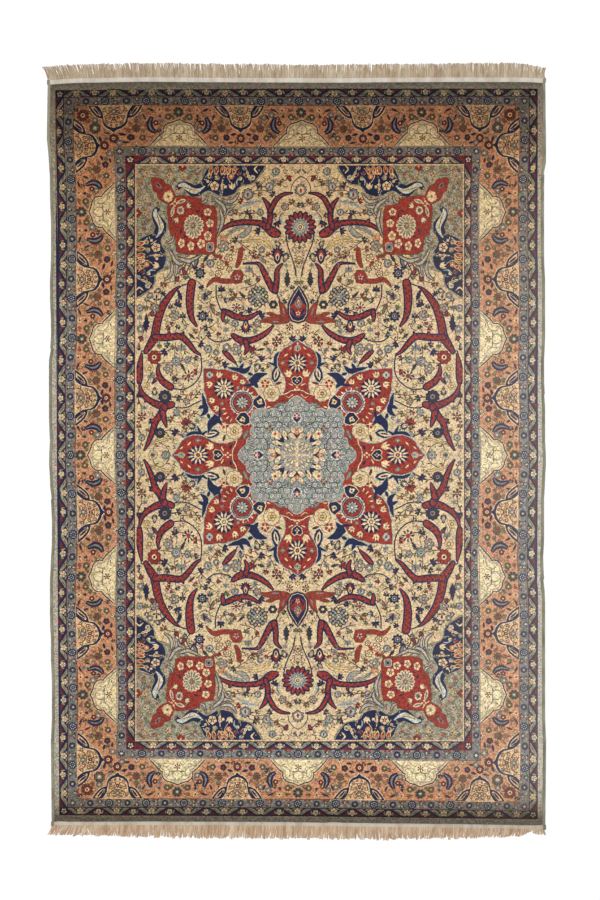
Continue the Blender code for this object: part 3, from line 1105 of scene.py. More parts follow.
# Each arm is a list of places, across and along, with the arm's width there
ARMS = [
    [(85, 217, 0.6), (77, 224.5, 2.6), (70, 228.2, 4.2), (60, 230.5, 5.0), (50, 230.6, 5.0),
     (40, 229.5, 5.4), (34, 226, 6.4), (27, 222.5, 6.8), (21.5, 220, 4.6)],
    [(30, 223, 8), (26, 220.5, 9), (21.4, 218.4, 5), (19, 218, 1)],
    [(32, 226, 5.2), (30, 235.4, 5.0), (30.5, 245, 5.4)],
    [(30.2, 242, 4.6), (33, 249, 4.0), (38.4, 255.4, 0.6)],
    [(30.2, 242, 4.6), (25.6, 251, 4.6), (22.6, 254.8, 4.0), (16.6, 258.5, 3.0), (7.5, 259.7, 0.8)],
    [(56, 190.4, 0.8), (45, 191, 1.6), (39, 189.2, 3.6), (33, 178.2, 5.2), (26.4, 166, 6.0),
     (22.7, 162.7, 4)],
    [(23.5, 164.5, 6), (22, 174.6, 5.0), (21.6, 184.3, 4.0), (16, 191, 0.8)],
    [(107.3, 171.6, 7.6), (109, 158, 7.6), (108.7, 145.3, 6.4), (106.3, 135.6, 4.4), (101, 128, 1)],
    [(153.4, 103.4, 4.6), (148.6, 111, 7), (144.4, 118.5, 7.8), (141.6, 133, 7.4), (137, 147, 7),
     (130, 158, 5.4), (123, 165.5, 2.6), (118.6, 168, 0.8)],
    [(144, 117.6, 6.4), (131, 117.4, 6.4), (118, 118.5, 6), (110, 111.8, 5), (103.5, 104, 3.4),
     (97.5, 100, 1)],
    [(140.5, 91, 0.8), (140.7, 82.6, 4.0), (136.3, 74, 6), (127.8, 68, 6.6)],
    [(157.4, 102, 1), (159.2, 91, 5), (160.2, 79, 7), (160, 73, 4.6)],
    [(160.2, 73, 1), (157.4, 62, 4.2), (149.6, 54.7, 5.4), (140, 50, 7), (131, 49.6, 7.4),
     (126.6, 50.4, 6)],
    [(134, 48, 7), (138.4, 40, 6.4), (143.5, 33, 6), (147, 22, 5), (151, 12, 3.6), (155.5, 4, 0.8)],
    [(136, 42, 6), (134, 34, 4.4), (131.8, 27.4, 0.8)],
    [(64.6, 119.4, 4.2), (59, 115.5, 6.4), (51.5, 114, 6.4), (41, 116.5, 5.4), (31, 122.5, 4.2),
     (24, 130, 1)],
    [(52, 113, 5.2), (50.5, 106, 4.2), (53.5, 100, 0.8)],
    [(73.8, 103.4, 3.2), (68.6, 98.3, 4.6), (61.6, 91.4, 1)],
    [(75, 144.2, 3.6), (69.5, 141.7, 5.4), (62, 138, 5.4), (51, 136.8, 4.8), (42.7, 140.5, 3.0),
     (37.3, 144, 0.8)],
    [(74.5, 143, 4.4), (75.4, 138, 3.8), (75, 132.6, 1)],
]
SPIKES = [
    ((66.6, 230), (69.6, 234.6)), ((49.6, 232), (49.6, 238)), ((33, 231), (39, 236)),
    ((141, 112), (146.6, 116)), ((131, 119), (128.6, 124)), ((117.6, 115), (114.4, 124.4)),
    ((140, 79), (147.6, 70.4)), ((144, 51), (150.6, 56)), ((141, 38), (151, 31)), ((151, 58), (155, 52)),
    ((143, 33), (150.6, 36)), ((137, 145), (134, 152)), ((60, 139), (55, 143)), ((57, 114), (56, 109)),
]
CLOUD_ARMS = [
    [(54, 203.4, 1), (58.6, 204.6, 3.4), (59, 198.6, 4.8), (60.4, 192, 4.4), (62.4, 188, 3)],
    [(67, 173.4, 4.4), (76, 173.2, 4.6), (84, 175, 4.4), (89.6, 171, 2.4), (92.4, 167, 0.8)],
    [(88, 201.4, 1), (83, 197.6, 2.6), (78.4, 198.6, 2.4)],
]
NAVY_STEMS = [
    [(85, 217), (91, 211.5), (95.5, 206)],
    [(22.6, 162), (19.6, 156), (17, 150)],
    [(107.5, 174), (112.4, 181.6), (108, 191), (100.5, 201.6)],
    [(97.5, 101), (96.3, 88.6), (98, 79), (103.5, 71.7), (110.8, 66.8), (118, 65.6), (126.6, 66.8)],
    [(77, 143.6), (79.5, 149), (82.5, 158), (82.7, 169.5)],
    [(128, 50), (120, 47), (110, 48), (102, 52), (92, 56.6)],
    [(64, 119), (70, 114.6), (83, 113.4), (91, 118.6)],
    [(14, 219), (12, 208), (5, 190), (2.6, 178)],
    [(153.6, 103), (157.4, 104), (158.6, 100)],
    [(118.6, 168), (114, 170), (108, 171)],
    [(61.6, 91.4), (58.6, 85), (60.4, 80)],
]
BROWN_STEMS = [
    [(12.8, 275.4), (20.6, 269), (31.5, 265.7), (43.7, 267)],
    [(52.7, 258), (45, 262), (36, 262), (27.2, 258)],
    [(40, 240.3), (54.6, 239), (70, 240.3), (76, 232)],
    [(76.6, 215), (70, 210), (63.7, 213), (55, 207), (41, 198), (30, 192)],
    [(88.7, 190.4), (84, 198), (76, 207.3)],
    [(99, 181), (106, 186), (115.4, 189.2), (120, 180), (122.6, 174), (135.4, 171)],
    [(49.7, 183), (44, 180), (40, 173.8), (48, 168), (58, 166)],
    [(94.2, 157.4), (88, 150), (90, 142), (96, 138.6)],
    [(73.5, 154), (63.7, 157.4), (52, 156), (40.6, 158), (30, 156)],
    [(119.6, 160), (121.4, 149), (124.5, 139.2), (116.6, 137.4), (112, 128), (118, 124)],
    [(153, 154), (145, 151), (144.5, 146.5), (150, 141), (153, 132), (156, 122), (160, 112)],
    [(144.8, 104), (133.2, 103.2), (125, 107), (117, 105.6), (108, 101)],
    [(144.8, 91), (135, 92), (122.3, 93.5), (111.4, 95.3), (103, 96.5)],
    [(123, 112), (124, 100), (122.3, 93.5)],
    [(149.6, 86.2), (144, 80), (148.4, 78.3), (152.6, 71.7)],
    [(130.2, 86.2), (123, 78), (116, 76), (109.6, 79)],
    [(133.8, 58.3), (120.5, 57), (111.4, 53.5), (104, 57), (97, 66)],
    [(127.2, 35.3), (121.7, 42.6), (112, 33), (104, 42), (95.7, 37.7)],
    [(138.7, 22), (130, 25), (122.3, 22), (114, 20.2), (103, 24), (98, 14), (108, 8), (118, 8)],
    [(146, 5), (142, 12), (133, 9), (128, 0)],
    [(90.2, 105.6), (86, 98), (80.5, 93.5), (74, 96)],
    [(61.5, 105.6), (56, 100), (57.2, 95), (48, 97), (44.6, 104.4), (37.2, 96), (27, 99), (20.9, 113.5)],
    [(52.2, 129.5), (44, 130), (36, 127)],
    [(25, 150), (33, 152), (40, 146), (49.7, 144), (61.8, 147)],
    [(20.9, 113.5), (16, 120), (22, 126)],
    [(92, 118), (98, 114), (99, 122), (92, 128), (84, 124)],
    [(157.5, 38.3), (161, 28), (157, 17), (161, 6)],
    [(161.7, 58), (158, 48), (157.5, 38.3)],
    [(124, 17), (134, 17), (148, 11)],
    [(92, 62), (103, 60), (118, 61), (112, 66)],
]

# The small flowers of the field: where each is, its kind, its size and how far it is turned
Flower = namedtuple("Flower", "across along kind size turn")
FIELD_FLOWERS = [
    Flower(99, 181, "navy rosette", 5.0, 0),
    Flower(96, 138.6, "navy rosette", 5.0, 0),
    Flower(40.6, 158, "grey daisy", 9.4, 0),
    Flower(21.8, 198.4, "crowned flower", 5.6, 0),
    Flower(52.7, 258, "blue palmette", 6.2, 0),
    Flower(31.5, 265.7, "grey palmette", 5.2, 20),
    Flower(25.5, 281, "grey palmette", 4.6, 180),
    Flower(12.8, 275.4, "red bud", 4.6, 150),
    Flower(2.6, 281, "navy leaf", 3.0, 40),
    Flower(27.2, 258, "dark sprig", 4.2, -60),
    Flower(20.6, 269, "brown sprig", 4.0, -50),
    Flower(43.7, 267, "dark sprig", 4.6, 70),
    Flower(70, 240.3, "grey palmette", 4.2, 60),
    Flower(63.4, 240.6, "brown sprig", 4.0, -80),
    Flower(40, 240.3, "grey palmette", 4.2, -10),
    Flower(52.6, 239, "dark sprig", 4.6, 40),
    Flower(8, 250, "brown sprig", 4.4, -40),
    Flower(15.2, 246, "grey outline", 3.6, 0),
    Flower(76.6, 215, "orange tulip", 6.4, 10),
    Flower(63.7, 213, "dark sprig", 4.4, -60),
    Flower(41.2, 198.2, "brown sprig", 4.0, 120),
    Flower(37.6, 192.8, "grey leafy", 3.2, 30),
    Flower(88.7, 190.4, "grey palmette", 4.8, 20),
    Flower(76, 207.3, "grey outline", 5.0, 0),
    Flower(103.2, 190.4, "navy leaf", 6.4, 20),
    Flower(115.4, 189.2, "cream leaf", 6.4, 30),
    Flower(114, 180.6, "red bud", 4.8, -30),
    Flower(122.6, 174, "red bud", 4.4, 30),
    Flower(135.4, 171, "brown sprig", 4.8, 190),
    Flower(153, 154, "blue bud", 3.8, 10),
    Flower(142.6, 155, "navy sprig", 4.2, 0),
    Flower(144.5, 146.5, "grey outline", 4.2, 0),
    Flower(147, 139.4, "red bud", 4.6, 0),
    Flower(153, 132, "navy fern", 8.0, 0),
    Flower(159.6, 146.5, "grey palmette", 4.4, -120),
    Flower(160, 136, "grey leafy", 3.4, 0),
    Flower(119.6, 160, "navy fern", 6.0, -20),
    Flower(121.4, 149, "navy leafy", 5.0, 20),
    Flower(124.5, 139.2, "grey outline", 4.6, 0),
    Flower(116.0, 137.4, "dark sprig", 4.4, 0),
    Flower(128, 131, "red bud", 3.0, 60),
    Flower(94.2, 157.4, "straw palmette", 7.4, 10),
    Flower(91, 160.6, "navy leaf", 5.0, 60),
    Flower(86, 146, "brown leaf", 5.8, 160),
    Flower(73.5, 154, "blue bud", 4.4, 80),
    Flower(63.7, 157.4, "brown sprig", 5.4, -60),
    Flower(61.8, 147, "navy star", 4.8, 0),
    Flower(49.7, 144, "navy leafy", 4.0, 80),
    Flower(40, 173.8, "red bud", 3.6, -40),
    Flower(49.7, 183, "grey leafy", 4.6, 0),
    Flower(11.5, 176, "dark fern", 8.0, 0),
    Flower(12.6, 188, "grey leafy", 2.8, 0),
    Flower(25, 150, "dark flower", 3.6, 0),
    Flower(52.2, 128.5, "crowned flower", 4.8, 180),
    Flower(63, 131, "grey palmette", 4.6, 0),
    Flower(40.6, 131.6, "grey outline", 3.6, 0),
    Flower(90.2, 105.6, "grey palmette", 5.0, 20),
    Flower(91.6, 127, "dark sprig", 4.4, -100),
    Flower(80.6, 121, "red bud", 3.6, 90),
    Flower(72, 124, "grey leafy", 3.6, 0),
    Flower(61.5, 105.6, "grey outline", 5.0, 0),
    Flower(80.5, 93.5, "brown sprig", 4.8, 40),
    Flower(57.2, 95, "navy leaf", 3.6, 0),
    Flower(44.6, 104.4, "crimson sprig", 5.0, -30),
    Flower(37.2, 96, "navy leafy", 4.2, 60),
    Flower(28.6, 104, "grey leafy", 3.4, 0),
    Flower(20.9, 113.5, "crimson flower", 5.0, 0),
    Flower(30, 90, "brown sprig", 3.4, 110),
    Flower(46, 92.6, "brown sprig", 3.4, -100),
    Flower(144.8, 97.7, "red daisy", 6.4, 0),
    Flower(133.2, 103.2, "navy leafy", 4.8, -120),
    Flower(117, 105.6, "grey leafy", 5.4, 0),
    Flower(122.3, 93.5, "grey rosette", 4.4, 0),
    Flower(111, 95.3, "grey palmette", 4.0, 90),
    Flower(103, 97, "dark sprig", 3.8, 100),
    Flower(130.2, 86.2, "grey outline", 4.4, 0),
    Flower(123, 77, "dark sprig", 4.8, 200),
    Flower(109.6, 79, "navy star", 5.8, 0),
    Flower(149.6, 86.2, "brown rosette", 3.8, 0),
    Flower(148.4, 77.3, "grey leafy", 3.6, 0),
    Flower(152.6, 68.6, "brown rosette", 3.2, 0),
    Flower(133.8, 58.3, "dark daisy", 6.2, 0),
    Flower(120.5, 57, "dark sprig", 4.6, 110),
    Flower(111.4, 53.5, "grey outline", 3.0, 0),
    Flower(112, 33, "red lotus", 6.2, -10),
    Flower(126.6, 35.3, "brown sprig", 4.6, -60),
    Flower(121.7, 42.6, "grey rosette", 3.2, 0),
    Flower(95.7, 37.7, "grey leafy", 3.0, 0),
    Flower(104, 42, "brown sprig", 3.0, 70),
    Flower(138.7, 22, "dark daisy", 5.0, 0),
    Flower(122.3, 22, "navy leafy", 5.0, -60),
    Flower(112.6, 20.2, "grey palmette", 4.0, 90),
    Flower(102, 22.6, "brown sprig", 3.4, 30),
    Flower(97, 12.6, "grey leafy", 3.2, 0),
    Flower(108, 8, "brown sprig", 3.2, -40),
    Flower(146.4, 0, "straw palmette", 6.0, 90),
    Flower(133, 0, "grey rosette", 4.6, 0),
    Flower(161, 58.3, "navy leafy", 4.4, 0),
    Flower(157.5, 38.3, "crimson flower", 4.4, 0),
    Flower(160.6, 28, "brown sprig", 3.8, 0),
    Flower(157.6, 17, "grey palmette", 4.2, 0),
    Flower(160.8, 7, "grey leafy", 3.4, 0),
    Flower(160.6, 108, "navy leaf", 4.0, 0),
    Flower(158.6, 118, "red bud", 4.2, 180),
    Flower(154.4, 46, "grey leafy", 3.2, 0),
    Flower(151.6, 24, "brown sprig", 3.0, 20),
    Flower(8, 128, "crimson flower", 3.6, 0),
    Flower(26, 139, "brown sprig", 2.8, 60),
    Flower(106, 60.6, "brown sprig", 3.0, -80),
]
FLOWER_KINDS = {
    "olive spray": lambda s: leaf_spray(s, "olive", "grey_blue"),
    "brown spray": lambda s: leaf_spray(s, "brown", "straw"),
    "slate spray": lambda s: leaf_spray(s, "slate", "pale_blue"),
    "grey spray": lambda s: leaf_spray(s, "grey_blue", "slate"),
    "crimson spray": lambda s: leaf_spray(s, "crimson", "salmon"),
    "cream spray": lambda s: leaf_spray(s, "cream"),
    "sage spray": lambda s: leaf_spray(s, "sage", "cream", 3),
    "salmon spray": lambda s: leaf_spray(s, "salmon", "red", 3),
    "brown stem": lambda s: leafy_stem(s, "brown", "slate"),
    "olive stem": lambda s: leafy_stem(s, "olive", "brown"),
    "grey stem": lambda s: leafy_stem(s, "brown", "grey_blue"),
    "small flower": lambda s: ringed_flower(s * 0.7, 5, "grey_blue", "slate", "cream", 0.5),
    "small crown": lambda s: crowned_palmette(s * 0.9, "mist", "slate", "red"),
    "small star": lambda s: star_flower(s * 0.8, 6, "slate", "salmon"),
    "crowned flower": lambda s: crowned_palmette(s * 1.25, "red", "navy", "navy"),
    "navy rosette": lambda s: rosette(s, 8, "navy", "grey_blue", "navy", "cream"),
    "grey rosette": lambda s: rosette(s, 8, "grey_blue", "pale_blue", "slate", "cream", "slate"),
    "brown rosette": lambda s: rosette(s, 6, "straw", "brown", "gold", None, "brown"),
    "grey daisy": lambda s: chrysanthemum(s),
    "red daisy": lambda s: daisy(s, 8, "red", "crimson", "cream", "navy", 22.5, 0.34),
    "dark daisy": lambda s: daisy(s, 10, "slate", "navy", "grey_blue", "crimson", 90, 0.36),
    "dark flower": lambda s: ringed_flower(s, 6, "slate", "navy", "cream", 0.5),
    "navy star": lambda s: star_flower(s, 8, "navy", "red", width=0.6),
    "crimson flower": lambda s: star_flower(s, 6, "crimson", "navy", "cream", width=0.9),
    "grey outline": lambda s: outlined_flower(s, "mist", "brown"),
    "blue palmette": lambda s: palmette(s * 0.86, "grey_blue", "navy", "pale_blue", "red"),
    "grey palmette": lambda s: palmette(s * 0.8, "grey_blue", "slate", "pale_blue", "brown"),
    "straw palmette": lambda s: palmette(s * 0.86, "gold", "olive", "grey_blue", "crimson", 9),
    "red bud": lambda s: bud(s, "red", "navy", "brown"),
    "blue bud": lambda s: bud(s, "pale_blue", "navy", "brown"),
    "orange tulip": lambda s: placed(tulip(s, "salmon", "red"), -0.5j * s),
    "red lotus": lambda s: placed(lotus(s, "red", "crimson", "navy", 5, 120), -0.4j * s),
    "navy leaf": lambda s: leaf_pair(s, "grey_blue", "navy"),
    "cream leaf": lambda s: leaf_pair(s, "cream", "brown"),
    "brown leaf": lambda s: leaf_pair(s, "grey_blue", "brown"),
    "brown sprig": lambda s: leaf_spray(s * 1.15, "brown", "straw"),
    "dark sprig": lambda s: leaf_spray(s * 1.15, "slate", "mist"),
    "navy sprig": lambda s: leaf_spray(s * 1.2, "navy", None, 3),
    "crimson sprig": lambda s: leaf_spray(s * 1.2, "crimson", "navy"),
    "grey leafy": lambda s: leaf_spray(s * 1.25, "grey_blue", "slate"),
    "navy leafy": lambda s: leaf_spray(s * 1.2, "navy", "crimson"),
    "navy fern": lambda s: fern(s, "navy", "crimson"),
    "dark fern": lambda s: fern(s, "slate", "olive"),
}


def rosette(radius, petals, yarn, heart, core, dot=None, edge=None):
    made = [Patch(yarn, scalloped(radius, petals, 0.3))]
    if edge:
        made.insert(0, Patch(edge, scalloped(radius + 0.5, petals, 0.28)))
    made.append(disc(heart, radius * 0.52, 8))
    made.append(disc(core, radius * 0.32, 8))
    if dot:
        made.append(disc(dot, radius * 0.16, 4))
    return made


def outlined_flower(radius, yarn, edge):
    made = [Patch(edge, scalloped(radius + 0.5, 5, 0.3)), Patch(yarn, scalloped(radius - 0.7, 5, 0.3))]
    for i in range(5):
        towards = cmath.exp(1j * math.tau * (i + 0.5) / 5)
        made.append(Patch(edge, kite(towards * radius * 0.3, towards * radius * 0.8, 0.8)))
    made.append(disc(edge, radius * 0.4, 6))
    made.append(disc("gold", radius * 0.24, 5))
    return made


def leaf_pair(size, yarn, edge):
    """A leaf of two yarns on a stem, with a small one beside it."""
    made = [oval(edge, -0.9j * size, size * 1j, size * 0.62)]
    made += [
        oval(yarn, (0.06 - 0.5j) * size, (0.04 + 0.74j) * size, size * 0.3),
        oval(edge, -0.8j * size, size * (0.62 - 0.1j), size * 0.24),
        oval(edge, -0.8j * size, size * (-0.5 - 0.2j), size * 0.2),
    ]
    return made


def fern(size, yarn, heart):
    """A dark upright leaf with five pairs of teeth."""
    made = feather([(0, -size, 0.6), (0, -0.2 * size, size * 0.8), (0, size, 0.5)], 6, yarn, heart)
    made += placed(sprig(size * 0.6, yarn, 3), complex(0, -0.3 * size))
    return made


LEAF_YARNS = ["brown", "slate", "olive", "mist", "brown", "navy"]


def field():
    half = []
    for points in BROWN_STEMS:
        half.append(stroke("brown", points_of(points), 0.9))
        half += leaves_along(points_of(points), 4.6, 4.6, LEAF_YARNS)
    for points in NAVY_STEMS:
        half.append(stroke("navy", points_of(points), 1.3))
    half += feather([(62.6, 243.6, 0.8), (56, 247.4, 4.6), (48, 250.6, 5.2), (38.6, 251.4, 0.8)], 9,
                    "pale_blue", "grey_blue", 0.3)
    half += haloed(feather([(56, 211.6, 0.8), (45, 214.4, 6.0), (34, 211.4, 6.8), (25.6, 202.4, 1)], 10,
                           "straw", "brown", 0.3), "brown", 0.5)
    half += haloed(feather([(150, 10, 0.8), (142, 13.4, 4.6), (133, 16.4, 4.8), (123, 16.4, 1)], 8,
                           "straw", "brown"),
                   "brown", 0.5)
    half += haloed(feather([(76.6, 213, 0.6), (68, 222, 4.4), (55, 227, 4.6)], 6, "mist", "brown"),
                   "slate", 0.4)
    half += haloed([sweep("mist", [(62.4, 217.6, 1), (57, 218, 4.4), (51.4, 223, 4.6), (49.6, 228, 1)])],
                   "slate", 0.6)
    half.append(sweep("pale_blue", [(16, 241, 0.8), (19.6, 235, 2.8), (17.6, 228.4, 0.8)]))
    half.append(sweep("slate", [(17.2, 241, 0.6), (21.0, 235, 1.0), (19, 228.6, 0.6)]))
    for root, tip in SPIKES:
        half.append(oval("navy", complex(*root), complex(*tip), 4.2))
    for stations in ARMS:
        half += arabesque(stations)
    for root, tip in SPIKES:
        half.append(oval("red", complex(*root), complex(*root) * 0.3 + complex(*tip) * 0.7, 2.2))
    for stations in CLOUD_ARMS:
        half += arabesque(stations, False, "red", "brown", 0.8)
    half.append(Patch("brown", points_of(((55, 179), (57, 171.4), (64.6, 170), (69, 177.4), (65, 184.4),
                                                      (57.4, 184.6)))))
    half.append(Patch("red", points_of(((56, 179), (57.6, 172.4), (64, 171), (67.8, 177.4), (64.4, 183.4),
                                                    (58, 183.6)))))
    half += placed(star_flower(3.2, 5, "pale_blue", "crimson"), 61.6 + 177.2j)
    for u, v, size in ((78, 189, 4.6), (70.6, 196, 4.2), (80.4, 180.6, 3.6), (69.6, 185, 3.0)):
        half += placed(outlined_flower(size, "cream", "brown"), complex(u, v), u * 5)
    half.append(oval("red", 70 + 187.6j, 75 + 193.6j, 3.4))
    half.append(oval("red", 76.6 + 199j, 80 + 193.6j, 3.0))
    half += placed(curl(3.0, "brown", 0.7, 1.1), 88 + 181j, 90)
    half += placed(curl(2.6, "brown", 0.7, 1.1), 65 + 200j, 0)
    for across, along, kind, size, turn in FIELD_FLOWERS:
        if along:
            half += placed(FLOWER_KINDS[kind](size * 1.15), complex(across, along), turn)
    made = four_fold(half)
    for across, along, kind, size, turn in FIELD_FLOWERS:
        if not along:
            made += spread(placed(FLOWER_KINDS[kind](size), 0, turn), across)
    made += field_axis()
    room = [p for p in spots_inside(rectangle(FIELD_HALF - (3 + 3j)), 3.2) if p.real > 0 and p.imag > 0]
    kinds = ["brown stem", "slate spray", "brown spray", "grey stem", "small flower", "crimson spray",
             "dark fern", "grey spray", "brown stem", "small crown", "olive spray", "navy leafy"]
    return made + four_fold(fill_gaps(made + spandrel() + medallion(), room, kinds, 2.3, 9, 4.9))


def field_axis():
    """What stands on the field's middle line above and below the medallion."""
    made = [stroke("navy", [10 + 261j, 9 + 267j, 5 + 273j, 276j], 0.9)]
    made = both_sides(made)
    made += placed(palmette(6.4, "grey_blue", "slate", "cream", "red", 9), 262j)
    made += placed(daisy(16.4, 16, "red", "navy", "grey_blue", "cream", 90, 0.5), 226j)
    inner = []
    for i in range(16):
        towards = cmath.exp(1j * math.tau * i / 16)
        inner.append(oval("pale_blue", towards * 3.6, towards * 9.6, 1.9))
        inner.append(oval("slate", towards * 5.4, towards * 7.6, 0.9))
    inner += [
        disc("slate", 3.8, 12),
        disc("cream", 3.2, 12),
        disc("slate", 2.0, 8),
        disc("pale_blue", 1.2, 6),
    ]
    made += placed(inner, 226j)
    made += placed(sprig(3.6, "slate", 3, "brown"), 206j)
    wings = []
    wings += arabesque([(38, 132.6, 1), (31, 134.8, 5), (22, 133.6, 6), (11, 134.4, 5)], False, "red",
                       "brown", 0.9)
    wings += arabesque([(32, 141.4, 1), (27, 140.8, 3.6), (21, 137.6, 4.4), (12, 138, 4)], False, "red",
                       "brown", 0.8)
    wings += arabesque([(19.6, 154, 1), (15.6, 147, 5.6), (13.6, 140, 7), (10, 135, 5)], False, "red",
                       "brown", 0.8)
    wings.append(oval("grey_blue", 18 + 133j, 27 + 133.4j, 1.8))
    wings.append(oval("grey_blue", 13.4 + 139.6j, 15.4 + 147j, 1.8))
    made += both_sides(wings)
    shield = symmetric([(0, 168.6), (4, 163), (7.6, 157), (10.4, 150), (10.2, 140), (6.4, 133.6),
                        (0, 131.6)])
    made += edged(shield, "navy", "brown", 0.7)
    made += edged(grown(shield, -2.0), "navy", "cream", 0.6)
    made.append(Patch("red", symmetric([(0, 159), (5, 151), (7.2, 149.6), (7.2, 141), (0, 137)])))
    made += both_sides([oval("navy", 1.6 + 138.4j, 6.6 + 146.4j, 2.6)])
    made += [
        Patch("grey_blue", symmetric([(0, 158.6), (3.8, 151.6), (2.6, 147.6), (0, 146)])),
        oval("red", 147.2j, 157j, 4.0),
        oval("cream", 148.4j, 155.4j, 2.2),
        oval("navy", 149.6j, 153.6j, 1.2),
    ]
    made += placed(star_flower(2.6, 5, "cream", "red"), 141.4j)
    made += placed(star_flower(3.0, 6, "crimson", "cream"), 123j)
    return both_ends(made)


# The medallion

ROUNDEL_CUSPS = [(10.5, 50.6), (18.6, 45.2), (29, 44.4), (39.6, 45.2), (45.2, 39.6), (44.4, 29),
                 (45.2, 18.6), (50.6, 10.5)]
ROUNDEL_BULGES = [2.2, 1.9, 1.9, 2.2, 1.9, 1.9, 2.2, 8.4]
BAND_QUARTER = [(0, 64), (6, 63.2), (10, 60.6), (16, 59.2), (22, 57), (29, 55.6), (34, 53.6), (38, 50.4),
                (46, 50), (50, 46), (50.4, 38), (53.6, 34), (55.6, 29), (57, 22), (59.2, 16), (60.6, 10),
                (63.2, 6)]
PENDANT = [(0, 114.6), (4, 111.4), (8, 108.8), (13, 106.6), (17, 102.5), (19.4, 96), (19, 89.5), (15.8, 83),
           (12.6, 78.5), (11, 72.5), (11.4, 66), (13.8, 60), (15, 52), (0, 50)]
DIAGONAL_PETAL = [(94, 86), (86, 86.2), (79, 85), (73, 85.4), (66.5, 83), (61, 82.4), (56, 80),
                  (52, 76.8), (49, 73), (47, 69), (43, 66.6), (40.6, 63), (38, 58), (40, 52), (46, 48),
                  (48, 40)]


def medallion():
    outline, band = [], []
    for turn in (1, -1j, -1, 1j):
        cusps = [complex(*p) * turn for p in ROUNDEL_CUSPS]
        outline += scallops(cusps + [cusps[-1].conjugate() if turn in (1, -1) else -cusps[-1].conjugate()],
                            ROUNDEL_BULGES)
        band += [complex(*p) * turn for p in BAND_QUARTER]
    band = smooth(band, 2, True)
    # the pendants, one drawn for the ends and stretched a little for the sides
    upright = pendant()
    sideways = [Patch(y, [complex(1.15 * p.imag - 6, p.real) for p in pts]) for y, pts in upright]
    made = both_sides(sideways) + both_ends(upright)
    made += diagonal_petals()
    made += edged(band, "red", "brown", 0.5, "cream", 0.9)
    made += band_leaves()
    made += band_flowers()
    made += edged(outline, "mist", "pale_blue", 0.6)
    made += roundel_lace(outline)
    return made + roundel_centre()


def scallops(cusps, bulges, steps=6):
    """Rounded lobes from cusp to cusp, to the left of the way."""
    points = []
    for a, b, bulge in zip(cusps, cusps[1:], bulges):
        out = 1j * (b - a) / abs(b - a) * bulge
        points += [a + (b - a) * i / steps + out * math.sin(math.pi * i / steps) for i in range(steps)]
    return points


def band_leaves():
    half = [
        oval("brown", 12.6 + 53j, 24.4 + 47.4j, 4.6),
        oval("grey_blue", 13.8 + 52.4j, 23.2 + 48j, 3.2),
        oval("cream", 26.4 + 48.4j, 30.4 + 47.4j, 1.8),
        oval("cream", 30.6 + 45.8j, 32.4 + 49.6j, 1.1),
        oval("brown", 54.6 + 14.6j, 48.4 + 26.4j, 4.6),
        oval("grey_blue", 54 + 15.8j, 49 + 25.4j, 3.2),
        oval("cream", 49 + 29j, 47.4 + 32.6j, 1.6),
        stroke("cream", [4 + 60.6j, 8 + 57.4j, 10.6 + 58.6j], 0.7),
    ]
    return four_fold(half)


def pendant():
    half = [sweep("navy", [(15.4, 104.4, 0.8), (20.8, 99.6, 3.6), (21.8, 93, 4.0), (19.4, 86, 1.6)])]
    half.append(Patch("navy", points_of(((22.4, 72.6), (25.6, 76.6), (25.4, 82.4), (22.6, 87.8),
                                         (17.6, 92.4),
                                                     (16.2, 86.4), (17.2, 78.6), (19.4, 74.2)))))
    half.append(sweep("navy", [(18.8, 88.6, 3.0), (22.8, 90.2, 3.0), (29.2, 92.6, 0.8)]))
    half = haloed(half, "pale_blue", 0.6)
    half.append(oval("cream", 22.4 + 74.8j, 19.6 + 87.0j, 5.0))
    half.append(oval("navy", 21.9 + 76.6j, 20.4 + 84.4j, 1.8))
    made = both_sides(half)
    made += edged(symmetric(PENDANT), "red", "brown", 0.4, "pale_blue", 0.9)
    half = placed(tulip(6.8, "cream", "straw"), 7.4 + 78.2j, -24)
    half.append(oval("cream", 9.4 + 101.4j, 13.4 + 98.4j, 1.6))
    half += placed(rosette(2.2, 4, "grey_blue", "brown", "cream", None, "brown"), 14.6 + 92j)
    half += [
        oval("navy", 5.4 + 64j, 10.2 + 62.4j, 2.6),
        stroke("cream", [4.2 + 69.6j, 8.4 + 71.4j], 0.9, 1),
        oval("cream", 5.6 + 108j, 8.6 + 105.2j, 1.2),
    ]
    made += both_sides(half)
    made += placed(star_flower(11.2, 12, "navy", "crimson", width=0.8), 92j)
    made += placed(star_flower(9.4, 12, "cream", "crimson", turn=75, width=0.62), 92j)
    made += placed(rosette(4.0, 6, "cream", "red", "navy", "cream", "navy"), 92j)
    made += placed(palmette(3.2, "grey_blue", "cream", "pale_blue", "navy"), 106.4j)
    made.append(oval("pale_blue", 108j, 113.6j, 1.8))
    heart = [69.6j, 4.4 + 72.6j, 5.2 + 76.4j, 2.8 + 78.4j, 77j]
    whole = heart + [-p.conjugate() for p in reversed(heart) if p.real]
    made += edged(whole, "navy", "cream", 0.7)
    made += placed(star_flower(2.4, 4, "cream", "red"), 74.2j)
    made += placed(star_flower(3.2, 4, "cream", "red", width=0.8), 65.6j)
    return made


